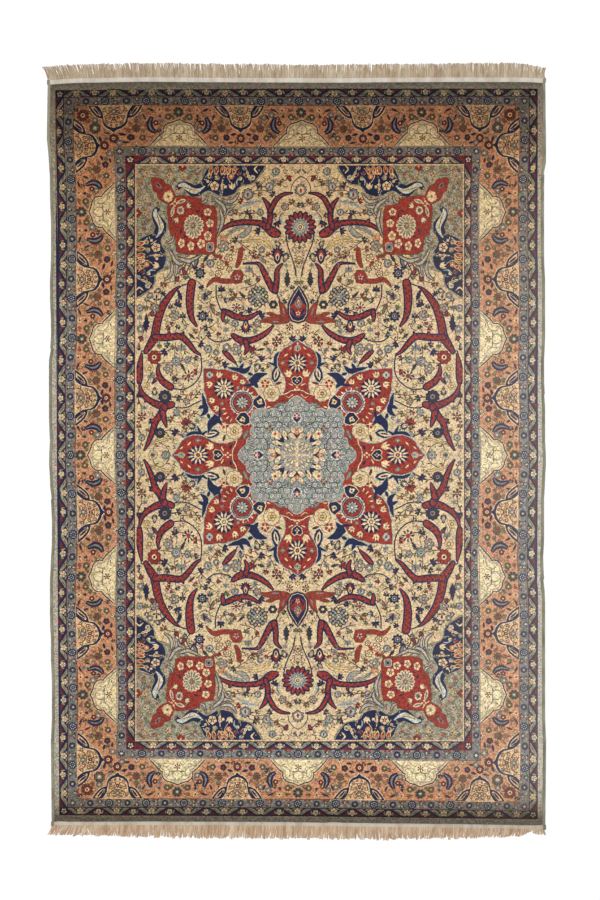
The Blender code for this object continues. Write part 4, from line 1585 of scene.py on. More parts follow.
def diagonal_petals():
    half = []
    half.append(sweep("navy", [(70, 87.6, 0.8), (61, 85.4, 4.4), (52, 84, 5.4), (46.6, 89.6, 0.8)]))
    half.append(Patch("navy", ribbon([(58, 69.4, 3), (50, 71, 6.2), (43.6, 74, 8.4), (39.2, 78.8, 7.2),
                                      (30.0, 81.4, 0.8)])))
    half += [
        oval("navy", 46 + 76j, 38.6 + 66.6j, 4.6),
        oval("navy", 58.6 + 83.6j, 54 + 92j, 3.6),
        oval("navy", 50 + 82j, 44 + 80j, 3.4),
    ]
    half = haloed(half, "pale_blue", 0.6)
    made = half + mirrored_askew(half, 8)
    there = points_of(DIAGONAL_PETAL)
    outline = there + [complex(p.imag + 8, p.real - 8) for p in reversed(there)]
    made += edged(outline, "red", "brown", 0.4, "pale_blue", 0.8)
    half = []
    for u, v, size in ((79.5, 79.8, 3.8), (63.4, 77.3, 3.6), (55.4, 72.5, 3.4)):
        half += placed(tulip(size * 1.5, "cream", "straw"), complex(u, v - size * 0.6), 20)
        half.append(disc("olive", 0.9, 5, complex(u - 0.6, v + 0.4)))
    half += placed(rosette(1.9, 6, "grey_blue", "brown", "cream"), 59.4 + 67.2j)
    half.append(oval("grey_blue", 50 + 66j, 53 + 67.4j, 1.4))
    half.append(sweep("navy", [(56, 70.4, 0.6), (49, 69.6, 2.6), (44.4, 71, 2.4)]))
    for u, v in ((44.6, 62.6), (49, 65.2), (42.2, 58.4), (54, 66.4)):
        away = complex(u, v) - (55 + 52.4j)
        away /= abs(away)
        half.append(oval("cream", 55 + 52.4j + away * 11.2, 55 + 52.4j + away * 15.6, 1.5))
    made += half + mirrored_askew(half, 8)
    made += placed(ringed_flower(3.6, 4, "pale_blue", "navy", "brown", 0.4), 88.2 + 80j, 0)
    made.append(Patch("navy", scalloped(10.6, 12, 0.16, 60, 73.6 + 66.4j)))
    made += placed(star_flower(10.2, 12, "cream", "navy", turn=45, width=0.72), 73.6 + 66.4j)
    made += placed(star_flower(7.0, 12, "navy", "navy", turn=60, width=0.5), 73.6 + 66.4j)
    made += placed(rosette(4.2, 6, "cream", "navy", "cream", "red", "navy"), 73.6 + 66.4j)
    return four_fold(made)


def band_flowers():
    """The round flowers, buds and rings that lie over the red band's outer edge."""
    made = []
    at = 55 + 52.4j
    made += [Patch("chalk", scalloped(12.9, 22, 0.09, 0, at)),
             Patch("red", scalloped(11.6, 6, 0.04, 0, at))]
    for radius, yarn in ((11.2, "slate"), (10.5, "pale_blue"), (9.9, "slate"), (9.2, "red")):
        made.append(Patch(yarn, scalloped(radius, 6, 0.05, 0, at)))
    made += placed(daisy(6.6, 10, "pale_blue", "slate", "grey_blue", "cream", 90, 0.36), at)
    buds = []
    diamond = points_of(((37.4, 60), (43.6, 55), (44, 50.4), (39.4, 46.6), (33.6, 46), (31.4, 50.4),
                                     (33.4, 56)))
    buds += edged(diamond, "navy", "cream", 0.8)
    buds += placed(bud(4.6, "cream", "cream", "straw"), 37.6 + 52j, 25)
    buds.append(disc("brown", 1.2, 5, 37.4 + 53j))
    ring = 25.2 + 61.4j
    buds.append(Patch("brown", scalloped(9.0, 10, 0.1, 0, ring)))
    buds.append(Patch("gold", scalloped(8.3, 10, 0.1, 0, ring)))
    buds += placed(ringed_flower(4.2, 6, "straw", "crimson", "brown", 0.5), ring)
    buds += placed(star_flower(2.6, 6, "brown", "straw"), ring)
    buds += placed(star_flower(4.6, 5, "red", "cream", width=1.1), 32 + 71.4j)
    buds += [
        oval("brown", 14.6 + 73j, 22.4 + 70.6j, 3.0),
        oval("navy", 15.4 + 72.6j, 20.4 + 71.4j, 1.4),
        stroke("brown", [23.4 + 70.6j, 26 + 75j, 30 + 76.6j], 0.5),
    ]
    made += buds + mirrored_askew(buds, 1.4)
    return four_fold(made)


def roundel_lace(outline):
    """Scrolls and leaves in pairs of a dark line and a pale one."""
    spots = [p for p in spots_inside(outline, 6.2) if p.real >= 0 and p.imag >= 0 and max(p.real,
                                                                                          p.imag) > 14]
    spots = [p for p in spots if is_inside(p * 1.04, outline)]
    chance = random.Random(23)
    half = []
    for i, spot in enumerate(spots):
        turn = chance.uniform(0, 360)
        flip = 1 if i % 2 else -1
        half += placed(curl(3.5, "slate", 0.75, 1.1, flip), spot, turn)
        half += placed(curl(2.7, "chalk" if i % 3 else "pale_blue", 0.8, 1.1, flip), spot, turn)
        root = spot + 3.4 * cmath.exp(1j * (turn + 1))
        leaf = [oval("pale_blue", root, root + 3.0 * cmath.exp(1j * turn), 1.3)]
        half += haloed(leaf, "slate", 0.5)
    return four_fold(half)


def roundel_centre():
    """The cream cross in the middle, with the lilies and small flowers round it."""
    leaves = [
        oval("cream", 0.8 + 16.4j, 7.8 + 21.6j, 4.8),
        oval("cream", 1.2 + 21.4j, 6.2 + 28.4j, 4.4),
        oval("cream", 10.2 + 14.6j, 13.6 + 25.0j, 5.0),
        oval("cream", 15.6 + 17.6j, 18.8 + 22.8j, 2.6),
        oval("cream", 4.4 + 3.4j, 9.4 + 6.0j, 2.2),
        oval("cream", 4.2 + 9.6j, 7.6 + 13.0j, 2.0),
    ]
    half = haloed(leaves + mirrored_askew(leaves, 0), "slate", 0.4)
    veins = [
        Patch("salmon", kite(2.6 + 18.2j, 6.6 + 21.2j, 1.0)),
        Patch("salmon", kite(2.6 + 23.8j, 5.4 + 27.4j, 1.0)),
        Patch("salmon", kite(11.2 + 17.6j, 13.2 + 23.6j, 1.2)),
        oval("navy", 8.2 + 15.0j, 10.6 + 19.6j, 2.0),
        stroke("slate", [4 + 30j, 12 + 30j, 18 + 33j, 25 + 33j], 0.7),
    ]
    half += veins + mirrored_askew(veins, 0)
    half += placed([Patch("navy", symmetric([(0, -4.6), (3.6, 0.2), (3.2, 3.2), (0, 1.2)]))],
                   15.6 + 15.6j, -45)
    half += placed(star_flower(2.2, 3, "cream", "cream"), 17.4 + 17.4j, -45)
    half += placed(rosette(3.8, 4, "cream", "salmon", "red"), 21.8 + 21.2j, 45)
    half += placed(star_flower(3.6, 4, "brown", "salmon", turn=0), 27.0 + 26.4j)
    half.append(disc("cream", 1.8, 5, 9.8 + 9.8j))
    made = four_fold(half)
    cross = [stroke("cream", [0j, 15j], 2.6, 1), stroke("cream", [0j, 15 + 0j], 1.2, 1)]
    made += four_fold(cross)
    for at, size in ((5.0 + 0j, 2.0), (6.0j, 3.0), (12.6 + 0j, 3.0), (13.0j, 2.8)):
        made += spread(placed(star_flower(size, 4, "cream", "salmon", turn=0, width=0.8), 0), at)
    made.append(Patch("cream", scalloped(2.8, 4, 0.3)))
    made.append(disc("salmon", 1.0, 6))
    flower = [Patch("navy", symmetric([(0, -4.0), (3.2, -0.8), (2.8, 1.0), (0, -0.4)]))]
    flower += placed(palmette(2.8, "red", "salmon", "cream", "red", 5), 1.4j)
    for at, turn in ((21.0j, 0), (21.4 + 0j, -90)):
        made += spread(placed(flower, 0, turn), at)
    up = [Patch("chalk", scalloped(5.4, 6, 0.2, 0, 0.6j))]
    up.append(Patch("navy", symmetric([(0, -4.6), (3.8, -0.4), (3.6, 1.6), (0, -0.6)])))
    up += placed(star_flower(3.6, 5, "red", "cream", width=1.1), 2.4j)
    made += both_ends(placed(up, 36.6j))
    made += both_sides(placed(up, 38, -90))
    return made


def whole_design():
    """Every patch of the rug, from the grounds up."""
    made = band_grounds()
    made += field()
    made += spandrel()
    made += medallion()
    made += frame_patches()
    made += minor_borders()
    made += main_border()
    return made


def frame_patches():
    """The bands again over whatever reaches past the field, as four strips each."""
    made = []
    for band in BANDS:
        outer, inner = band_edges(band.name)
        top = [complex(-outer.real, inner.imag), complex(outer.real, inner.imag), outer,
               complex(-outer.real, outer.imag)]
        side = [complex(inner.real, -outer.imag), complex(outer.real, -outer.imag), outer,
                complex(inner.real, outer.imag)]
        made += both_ends([Patch(band.ground, top)])
        made += both_sides([Patch(band.ground, side)])
    return made


# From the drawing to the rug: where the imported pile's outline is, and what lies inside it


def edge_table(node, sideways, sign, least):
    """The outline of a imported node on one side, as places along it and how far out it is there."""
    reach = {}
    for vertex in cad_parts[node].data.vertices:
        out, along = (vertex.co.x, vertex.co.y) if sideways else (vertex.co.y, vertex.co.x)
        if out * sign > least:
            place = round(along, 3)
            reach[place] = max(reach.get(place, 0.0), out * sign)
    places = sorted(reach)
    return places, [reach[place] * sign for place in places]


def between(table, place):
    places, values = table
    after = min(max(bisect.bisect_left(places, place), 1), len(places) - 1)
    low, high = places[after - 1], places[after]
    share = min(max((place - low) / (high - low), 0.0), 1.0)
    return values[after - 1] * (1 - share) + values[after] * share


PILE_LOW, PILE_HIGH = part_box("pile")
SIDES = {sign: edge_table("pile", True, sign, 0.95) for sign in (-1, 1)}
ENDS = {sign: edge_table("pile", False, sign, 1.44) for sign in (-1, 1)}
# The drawing's middle in the frame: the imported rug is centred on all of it, fringes too
MIDDLE_ACROSS = PILE_LOW.x + 0.9877
MIDDLE_ALONG = PILE_HIGH.y - 1.482
DRAWN_MIDDLE = 0.2 + 0.5j
PILE_HALF = complex(HALF_ACROSS - BINDING_SQUARES, HALF_ALONG)
FIELD_HALF = 163.5 + 287j


def soft_step(value):
    value = min(max(value, 0.0), 1.0)
    return value * value * (3 - 2 * value)


def to_rug(point):
    """Where a place of the drawing lies on the woven rug, in metres."""
    u, v = point.real, point.imag
    middle = eased(ALONG_DRIFTS, v, "middle")
    near = min(abs(u) / FIELD_HALF.real, 1.0)
    drift = middle + (FIELD_DRIFT - middle) * near * near
    if abs(u) > FIELD_HALF.real:
        drift = FIELD_DRIFT * (1 - soft_step((abs(u) - FIELD_HALF.real) / 22))
    away = soft_step((PILE_HALF.imag - abs(v)) / 40)
    x = (DRAWN_MIDDLE.real + u + drift * away) * SQUARE + MIDDLE_ACROSS
    y = (DRAWN_MIDDLE.imag + v - eased(ALONG_DRIFTS, v, "down") * away) * SQUARE + MIDDLE_ALONG
    side = 1 if u > 0 else -1
    end = 1 if v > 0 else -1
    straight_x = (DRAWN_MIDDLE.real + side * PILE_HALF.real) * SQUARE + MIDDLE_ACROSS
    straight_y = (DRAWN_MIDDLE.imag + end * PILE_HALF.imag) * SQUARE + MIDDLE_ALONG
    follow_x = soft_step((abs(u) - FIELD_HALF.real) / 22)
    follow_y = soft_step((abs(v) - FIELD_HALF.imag) / 22)
    moved_y = y + follow_y * (between(ENDS[end], x) - straight_y)
    moved_x = x + follow_x * (between(SIDES[side], y) - straight_x)
    return moved_x, moved_y


# Cutting the drawing into cells of one yarn each


def even_rectangle(half, pitch):
    """A rectangle with points this far apart along its sides."""
    corners = rectangle(half)
    points = []
    for a, b in zip(corners, corners[1:] + corners[:1]):
        count = max(1, round(abs(b - a) / pitch))
        points += [a + (b - a) * i / count for i in range(count)]
    return points


def cut_quarter(patches, pitch):
    """Triangles of the upper right quarter, each with the yarn of the topmost patch over it."""
    limit = PILE_HALF
    number, points, edges, outlines = {}, [], set(), []

    def numbered(p):
        p = complex(min(p.real, limit.real), min(p.imag, limit.imag))
        key = (round(p.real, 3), round(p.imag, 3))
        if key not in number:
            number[key] = len(points)
            points.append(key)
        return number[key]

    for yarn, outline in patches:
        if max(p.real for p in outline) > 0 and max(p.imag for p in outline) > 0:
            around = [numbered(p) for p in outline]
            edges.update((a, b) for a, b in zip(around, around[1:] + around[:1]) if a != b)
            outlines.append((yarn, np.array([points[i] for i in around])))
    far = -4.0
    for a, b in ((complex(0, far), complex(0, limit.imag)), (complex(far, 0), complex(limit.real, 0))):
        edges.add((numbered(a), numbered(b)))
    places, triangles, centres = triangles_between(points, edges)
    order = np.argsort(centres[:, 0])
    triangles, centres = triangles[order], centres[order]
    topmost = np.full(len(triangles), -1)
    for i in range(len(outlines) - 1, -1, -1):
        outline = outlines[i][1]
        low, high = outline.min(axis=0), outline.max(axis=0)
        first, last = np.searchsorted(centres[:, 0], (low[0], high[0]))
        near = np.arange(first, last)
        near = near[(topmost[near] < 0) & (centres[near, 1] > low[1]) & (centres[near, 1] < high[1])]
        if len(near):
            topmost[near[windings(outline, centres[near]) != 0]] = i
    covered = topmost >= 0
    yarns = [outlines[i][0] for i in topmost[covered].tolist()]
    return cut_between_yarns(places, triangles[covered].tolist(), yarns, pitch)


def triangles_between(points, edges):
    """Triangles of the upper right quarter that keep to the edges, with their middles."""
    limit = PILE_HALF
    made = delaunay_2d_cdt([Vector(p) for p in points], sorted(edges), [], 0, 1e-5, False)
    places = np.array([tuple(p) for p in made[0]])
    triangles = np.array(made[2])
    centres = places[triangles].mean(axis=1)
    inside = (centres > 0).all(axis=1) & (centres[:, 0] < limit.real) & (centres[:, 1] < limit.imag)
    return places, triangles[inside], centres[inside]


def cut_between_yarns(places, triangles, yarns, pitch):
    """The same areas cut again, only where one yarn meets another."""
    sides = {}
    for triangle, yarn in zip(triangles, yarns):
        for a, b in ((0, 1), (1, 2), (2, 0)):
            sides[(triangle[a], triangle[b])] = yarn
    beside = {}
    for (a, b), yarn in sides.items():
        if sides.get((b, a)) != yarn:
            beside.setdefault(a, set()).add(b)
            beside.setdefault(b, set()).add(a)
    spots = points_of(places.tolist())
    for i in sorted(beside):
        if len(beside[i]) == 2:
            a, b = sorted(beside[i])
            whole = spots[b] - spots[a]
            off = abs(((spots[i] - spots[a]) * whole.conjugate()).imag)
            if b not in beside[a] and 0 < abs(whole) < 6 and off < 0.05 * abs(whole):
                beside[a].symmetric_difference_update((i, b))
                beside[b].symmetric_difference_update((i, a))
                beside[i] = set()
    kept = [i for i in sorted(beside) if beside[i]]
    number = {i: k for k, i in enumerate(kept)}
    points = [(spots[i].real, spots[i].imag) for i in kept]
    edges = {(number[i], number[k]) for i in kept for k in beside[i] if i < k}
    limit = PILE_HALF
    columns, rows = round(limit.real / pitch), round(limit.imag / pitch)
    for row in range(rows):
        for column in range(columns):
            points.append((limit.real * (column + 0.5) / columns, limit.imag * (row + 0.5) / rows))
    tree = BVHTree.FromPolygons([(p.real, p.imag, 0) for p in spots], triangles)
    places, triangles, centres = triangles_between(points, edges)
    cells = []
    for triangle, centre in zip(triangles.tolist(), centres.tolist()):
        cells.append((tuple(triangle), yarns[tree.find_nearest((*centre, 0))[2]]))
    return points_of(places.tolist()), cells


def windings(outline, centres):
    """How often the outline goes round each centre."""
    x0, y0 = outline[:, 0][:, None], outline[:, 1][:, None]
    x1, y1 = np.roll(x0, -1, axis=0), np.roll(y0, -1, axis=0)
    x, y = centres[:, 0], centres[:, 1]
    left = (x1 - x0) * (y - y0) - (x - x0) * (y1 - y0)
    upward = (y0 <= y) & (y1 > y) & (left > 0)
    downward = (y0 > y) & (y1 <= y) & (left < 0)
    return upward.sum(axis=0) - downward.sum(axis=0)


def unfolded(places, cells):
    """The quarter's triangles mirrored to all four, with shared corners on the middle lines."""
    number, points, made = {}, [], []
    for across, along in ((1, 1), (-1, 1), (-1, -1), (1, -1)):
        for triangle, yarn in cells:
            corners = []
            for i in triangle:
                p = places[i]
                key = (i, across if p.real > 1e-6 else 1, along if p.imag > 1e-6 else 1)
                if key not in number:
                    number[key] = len(points)
                    points.append(complex(p.real * across, p.imag * along))
                corners.append(number[key])
            if across * along < 0:
                corners.reverse()
            made.append((tuple(corners), yarn))
    return points, made


def is_large(patch, least):
    return abs(signed_area(patch.points)) > least


def outer_rings():
    """The drawing's outermost band, in steps where the pile rolls over at its edge."""
    rings = []
    for inset in (0.0, 0.2, 0.5, 0.9):
        rings.append(Patch("edge", even_rectangle(PILE_HALF - complex(inset, inset), 8)))
    return rings


def pile_height(u, v, settings):
    """How high the pile stands: rolled down at its edge and a little uneven elsewhere."""
    inset = min(PILE_HALF.real - abs(u), PILE_HALF.imag - abs(v)) * SQUARE
    rise = min(inset / settings.edge_roll, 1.0)
    roll = settings.edge_roll * 0.8 * (1 - math.sqrt(max(0.0, 1 - (1 - rise) ** 2)))
    uneven = math.sin(u * 0.043 + 1.3) * math.sin(v * 0.036) + 0.6 * math.sin(u * 0.11 + v * 0.05)
    return PILE_HIGH.z - roll - settings.unevenness * (0.5 + 0.3 * uneven)


def new_object(name, vertices, faces, material, body="root"):
    mesh = bpy.data.meshes.new(name)
    mesh.from_pydata(vertices, [], faces)
    mesh.validate()
    mesh.materials.append(material)
    made = bpy.data.objects.new(name, mesh)
    bpy.context.scene.collection.objects.link(made)
    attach(made, body)
    return made


def give_plan_map(made, columns=2):
    """A flat map of a piece seen from above, its faces from below beside the rest."""
    mesh = made.data
    layer = mesh.uv_layers.new(name="OFBake")
    low, high = PILE_LOW, PILE_HIGH
    for face in mesh.polygons:
        shift = 1 if face.normal.z < -0.5 else 0
        for loop in face.loop_indices:
            place = mesh.vertices[mesh.loops[loop].vertex_index].co
            share_x = (place.x - low.x) / (high.x - low.x)
            share_y = (place.y - low.y) / (high.y - low.y)
            share_x = min(max(share_x, 0.0), 1.0)
            layer.data[loop].uv = ((share_x * 0.98 + 0.01 + shift) / columns, share_y * 0.98 + 0.01)


def build_pile(settings):
    """One piece of pile for each yarn: its cells on the front, at the edge and on the knotted back."""
    design = whole_design()
    pitch = 7
    front_design = outer_rings() + design
    back_design = outer_rings() + [p for p in design if is_large(p, settings.back_detail)]
    parts = {yarn.name: ([], []) for yarn in YARNS}
    for is_back, patches in ((False, front_design), (True, back_design)):
        places, cells = unfolded(*cut_quarter(patches, 14 if is_back else pitch))
        spots = [to_rug(p) for p in places]
        heights = [pile_height(p.real, p.imag, settings) for p in places]
        sides = {}
        used = {name: {} for name in parts}
        for triangle, yarn in cells:
            vertices, faces = parts[yarn]
            index = used[yarn]
            face = []
            for corner in triangle:
                if corner not in index:
                    index[corner] = len(vertices)
                    x, y = spots[corner]
                    vertices.append((x, y, settings.back_height if is_back else heights[corner]))
                face.append(index[corner])
            faces.append(face[::-1] if is_back else face)
            for a, b in ((0, 1), (1, 2), (2, 0)):
                sides[(triangle[a], triangle[b])] = yarn
        if not is_back:
            for (a, b), yarn in sides.items():
                if (b, a) not in sides:
                    vertices, faces = parts[yarn]
                    start = len(vertices)
                    vertices.extend([(*spots[a], heights[a]), (*spots[b], heights[b]),
                                     (*spots[b], settings.back_height), (*spots[a], settings.back_height)])
                    faces.append([start + 1, start, start + 3, start + 2])
    pieces = []
    for yarn in YARNS:
        vertices, faces = parts[yarn.name]
        if not faces:
            continue
        made = new_object("pile_" + yarn.name, vertices, faces, wool_material(yarn))
        give_plan_map(made)
        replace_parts(made, "pile")
        pieces.append(made)
    return pieces


# Materials


def linear(value):
    value /= 255
    return value / 12.92 if value <= 0.04045 else ((value + 0.055) / 1.055) ** 2.4


def shade(red, green, blue):
    return (linear(red), linear(green), linear(blue), 1.0)


def node_group(name, inputs, outputs):
    """A shader node group with these sockets, and its two ends."""
    group = bpy.data.node_groups.new(name, "ShaderNodeTree")
    for direction, sockets in (("INPUT", inputs), ("OUTPUT", outputs)):
        for label, kind, value in sockets:
            socket = group.interface.new_socket(name=label, in_out=direction, socket_type=kind)
            if value is not None:
                socket.default_value = value
    start = group.nodes.new("NodeGroupInput")
    end = group.nodes.new("NodeGroupOutput")
    return group, start, end


def add(tree, kind, **settings):
    node = tree.nodes.new(kind)
    for key, value in settings.items():
        setattr(node, key, value)
    return node


def math_node(tree, operation, first, second=0.0, third=None):
    """A math node of numbers or sockets, and its output."""
    node = add(tree, "ShaderNodeMath", operation=operation)
    for i, value in enumerate((first, second, third)):
        if value is None:
            continue
        if isinstance(value, (int, float)):
            node.inputs[i].default_value = value
        else:
            tree.links.new(value, node.inputs[i])
    return node.outputs[0]


def ramp_between(tree, value, start, end, low, high):
    """A value eased from low to high while the given one goes from start to end."""
    node = add(tree, "ShaderNodeMapRange", interpolation_type="SMOOTHSTEP")
    for i, number in enumerate((start, end, low, high), 1):
        node.inputs[i].default_value = number
    tree.links.new(value, node.inputs[0])
    return node.outputs[0]


def noise_at(tree, place, scale, stretch=(1, 1, 1), detail=2.0, roughness=0.5):
    mapping = add(tree, "ShaderNodeMapping")
    mapping.inputs["Scale"].default_value = stretch
    noise = add(tree, "ShaderNodeTexNoise")
    noise.inputs["Scale"].default_value = scale
    noise.inputs["Detail"].default_value = detail
    noise.inputs["Roughness"].default_value = roughness
    tree.links.new(place, mapping.inputs["Vector"])
    tree.links.new(mapping.outputs[0], noise.inputs["Vector"])
    return noise.outputs[0]


# Painted shade and light over the colours, from the lower end to the upper one and from left to right:
# darker at both ends and on the left, lighter on the right
Stop = namedtuple("Stop", "place red green blue")
PAINTED_SHADE_REACH = 1.5
# painted shade: darker towards both ends, most of all over the upper part
PAINTED_SHADE_ALONG = [
    Stop(-1.465, 0.255, 0.23, 0.21),
    Stop(-1.440, 0.50, 0.46, 0.42),
    Stop(-1.400, 0.84, 0.80, 0.74),
    Stop(-1.310, 1.00, 1.00, 1.00),
    Stop(0.370, 1.00, 1.00, 1.00),
    Stop(0.610, 0.93, 0.91, 0.88),
    Stop(0.930, 0.80, 0.74, 0.67),
    Stop(1.155, 0.72, 0.64, 0.55),
    Stop(1.200, 0.56, 0.48, 0.41),
    Stop(1.310, 0.46, 0.39, 0.33),
    Stop(1.410, 0.36, 0.31, 0.27),
    Stop(1.455, 0.27, 0.245, 0.215),
    Stop(1.480, 0.195, 0.18, 0.163),
]
# painted light and shade across: darker on the left, lighter on the right
PAINTED_LIGHT_ACROSS = [
    Stop(-0.98, 0.86, 0.84, 0.81),
    Stop(-0.70, 0.88, 0.85, 0.81),
    Stop(-0.45, 0.95, 0.95, 0.94),
    Stop(0.10, 1.00, 1.00, 1.00),
    Stop(0.60, 1.03, 1.03, 1.04),
    Stop(0.98, 1.08, 1.10, 1.12),
]


def stops_along(tree, value, stops):
    """A colour that goes from stop to stop along a value."""
    share = add(tree, "ShaderNodeMapRange")
    share.inputs["From Min"].default_value = -PAINTED_SHADE_REACH
    share.inputs["From Max"].default_value = PAINTED_SHADE_REACH
    tree.links.new(value, share.inputs["Value"])
    ramp = add(tree, "ShaderNodeValToRGB")
    for i, stop in enumerate(stops):
        place = (stop.place + PAINTED_SHADE_REACH) / (2 * PAINTED_SHADE_REACH)
        if i < 2:
            element = ramp.color_ramp.elements[i]
            element.position = place
        else:
            element = ramp.color_ramp.elements.new(place)
        element.color = (stop.red, stop.green, stop.blue, 1)
    tree.links.new(share.outputs[0], ramp.inputs[0])
    return ramp.outputs["Color"]


def multiplied(tree, first, second):
    node = add(tree, "ShaderNodeVectorMath", operation="MULTIPLY")
    tree.links.new(first, node.inputs[0])
    tree.links.new(second, node.inputs[1])
    return node.outputs[0]


def wool_pile_group():
    """Knotted wool: dye bands across the rug, uneven yarn and wear, with painted shade at both ends and on
    the left side and painted light towards the right side.
    """
    found = bpy.data.node_groups.get("Wool pile")
    if found:
        return found
    group, start, end = node_group(
        "Wool pile",
        [("Yarn", "NodeSocketColor", (0.8, 0.7, 0.5, 1)), ("Unevenness", "NodeSocketFloat", 0.75),
         ("Dye bands", "NodeSocketFloat", 0.14), ("Knot pitch", "NodeSocketFloat", KNOT_PITCH)],
        [("Colour", "NodeSocketColor", None), ("Height", "NodeSocketFloat", None)],
    )
    place = add(group, "ShaderNodeTexCoord").outputs["Object"]
    parts = add(group, "ShaderNodeSeparateXYZ")
    group.links.new(place, parts.inputs[0])
    across, along = parts.outputs[0], parts.outputs[1]
    # dye bands run across the rug, patches of wear are rounder
    bands = noise_at(group, place, 1.0, (0.5, 9, 1), 3.0, 0.6)
    fine_bands = noise_at(group, place, 1.0, (3, 60, 1), 2.0, 0.6)
    patches = noise_at(group, place, 3.2, (1, 1, 1), 3.0)
    # each knot has taken the dye a little differently
    cell = add(group, "ShaderNodeVectorMath", operation="SNAP")
    cell.inputs[1].default_value = (0.0052, 0.0042, 1.0)
    group.links.new(place, cell.inputs[0])
    knots = add(group, "ShaderNodeTexWhiteNoise")
    group.links.new(cell.outputs[0], knots.inputs["Vector"])
    grain = knots.outputs["Value"]
    banding = math_node(group, "MULTIPLY", math_node(group, "SUBTRACT", bands, 0.5),
                        start.outputs["Dye bands"])
    fine = math_node(group, "MULTIPLY", math_node(group, "SUBTRACT", fine_bands, 0.5), 0.22)
    patching = math_node(group, "MULTIPLY", math_node(group, "SUBTRACT", patches, 0.5), 0.22)
    grains = math_node(group, "MULTIPLY", math_node(group, "SUBTRACT", grain, 0.5),
                       start.outputs["Unevenness"])
    total = math_node(group, "ADD", math_node(group, "ADD", banding, patching),
                      math_node(group, "ADD", grains, fine))
    total = math_node(group, "ADD", total, 1.0)
    tint = add(group, "ShaderNodeVectorMath", operation="SCALE")
    group.links.new(start.outputs["Yarn"], tint.inputs[0])
    group.links.new(total, tint.inputs["Scale"])
    # painted shade: both ends and the left side are darkened by the two tables multiplied in below
    speckled = add(group, "ShaderNodeMix", data_type="RGBA", blend_type="OVERLAY")
    speckled.inputs["Factor"].default_value = 0.22
    group.links.new(tint.outputs[0], speckled.inputs["A"])
    group.links.new(knots.outputs["Color"], speckled.inputs["B"])
    # painted light: the colour paled towards the right side, less so near the upper end
    painted_light_amount = ramp_between(group, across, 0.3, 1.0, 0.03, 0.15)
    painted_light_amount = math_node(group, "MULTIPLY", painted_light_amount, ramp_between(group, along, 0.8, 1.3, 1.0, 0.2))
    painted_light_mix = add(group, "ShaderNodeMix", data_type="RGBA")
    painted_light_mix.inputs["B"].default_value = shade(182, 170, 156)
    group.links.new(painted_light_amount, painted_light_mix.inputs["Factor"])
    group.links.new(speckled.outputs["Result"], painted_light_mix.inputs["A"])
    shaded_colour = painted_light_mix.outputs["Result"]
    # painted shade and light: darker towards both ends and the left side, lighter towards the right side
    for value, stops in ((along, PAINTED_SHADE_ALONG), (across, PAINTED_LIGHT_ACROSS)):
        shaded_colour = multiplied(group, shaded_colour, stops_along(group, value, stops))
    group.links.new(shaded_colour, end.inputs["Colour"])
    # the height is a bead for each knot
    beads = []
    for value in (across, along):
        turns = math_node(group, "DIVIDE", value, start.outputs["Knot pitch"])
        beads.append(math_node(group, "SINE", math_node(group, "MULTIPLY", turns, math.tau)))
    bead = math_node(group, "MULTIPLY", beads[0], beads[1])
    tufts = noise_at(group, place, 180.0, (1, 1, 1), 2.0)
    height = math_node(group, "MULTIPLY_ADD", bead, 0.25, tufts)
    group.links.new(height, end.inputs["Height"])
    return group


def flat_weave_group():
    """Plain weave: ribs over and under, with soft stains."""
    found = bpy.data.node_groups.get("Flat weave")
    if found:
        return found
    group, start, end = node_group(
        "Flat weave",
        [("Yarn", "NodeSocketColor", (0.8, 0.75, 0.62, 1)),
         ("Stain", "NodeSocketColor", (0.5, 0.42, 0.3, 1)), ("Staining", "NodeSocketFloat", 0.35),
         ("Rib pitch", "NodeSocketFloat", 0.003)],
        [("Colour", "NodeSocketColor", None), ("Height", "NodeSocketFloat", None)],
    )
    place = add(group, "ShaderNodeTexCoord").outputs["Object"]
    parts = add(group, "ShaderNodeSeparateXYZ")
    group.links.new(place, parts.inputs[0])
    streaks = noise_at(group, place, 26.0, (1, 0.5, 1), 3.0, 0.6)
    amount = math_node(group, "MULTIPLY", ramp_between(group, streaks, 0.35, 0.7, 0.0, 1.0),
                       start.outputs["Staining"])
    mix = add(group, "ShaderNodeMix", data_type="RGBA")
    group.links.new(amount, mix.inputs["Factor"])
    group.links.new(start.outputs["Yarn"], mix.inputs["A"])
    group.links.new(start.outputs["Stain"], mix.inputs["B"])
    group.links.new(mix.outputs["Result"], end.inputs["Colour"])
    ribs = []
    for i in (0, 1):
        turns = math_node(group, "DIVIDE", parts.outputs[i], start.outputs["Rib pitch"])
        ribs.append(math_node(group, "SINE", math_node(group, "MULTIPLY", turns, math.tau)))
    group.links.new(math_node(group, "MULTIPLY", ribs[0], ribs[1]), end.inputs["Height"])
    return group


def textile_material(name, group, values, depth, roughness, sheen):
    """A cloth material whose colour and bump come from a node group."""
    material = bpy.data.materials.new(name)
    material.use_nodes = True
    tree = material.node_tree
    shader = tree.nodes["Principled BSDF"]
    shader.inputs["Roughness"].default_value = roughness
    shader.inputs["Sheen Weight"].default_value = sheen
    shader.inputs["Specular IOR Level"].default_value = 0.15
    effect = add(tree, "ShaderNodeGroup")
    effect.node_tree = group
    for key, value in values.items():
        effect.inputs[key].default_value = value
    bump = add(tree, "ShaderNodeBump")
    bump.inputs["Distance"].default_value = depth
    bump.inputs["Strength"].default_value = 0.5
    tree.links.new(effect.outputs["Colour"], shader.inputs["Base Color"])
    tree.links.new(effect.outputs["Height"], bump.inputs["Height"])
    tree.links.new(bump.outputs[0], shader.inputs["Normal"])
    return material


def wool_material(yarn):
    values = {"Yarn": shade(yarn.red, yarn.green, yarn.blue)}
    return textile_material("wool_" + yarn.name, wool_pile_group(), values, 0.0012, 0.95, 0.08)


# Bindings, flat-woven bands and fringes


def binding_middle(side, y):
    return between(SIDES[side], y) + side * (GAP + BINDING_WIDTH / 2)


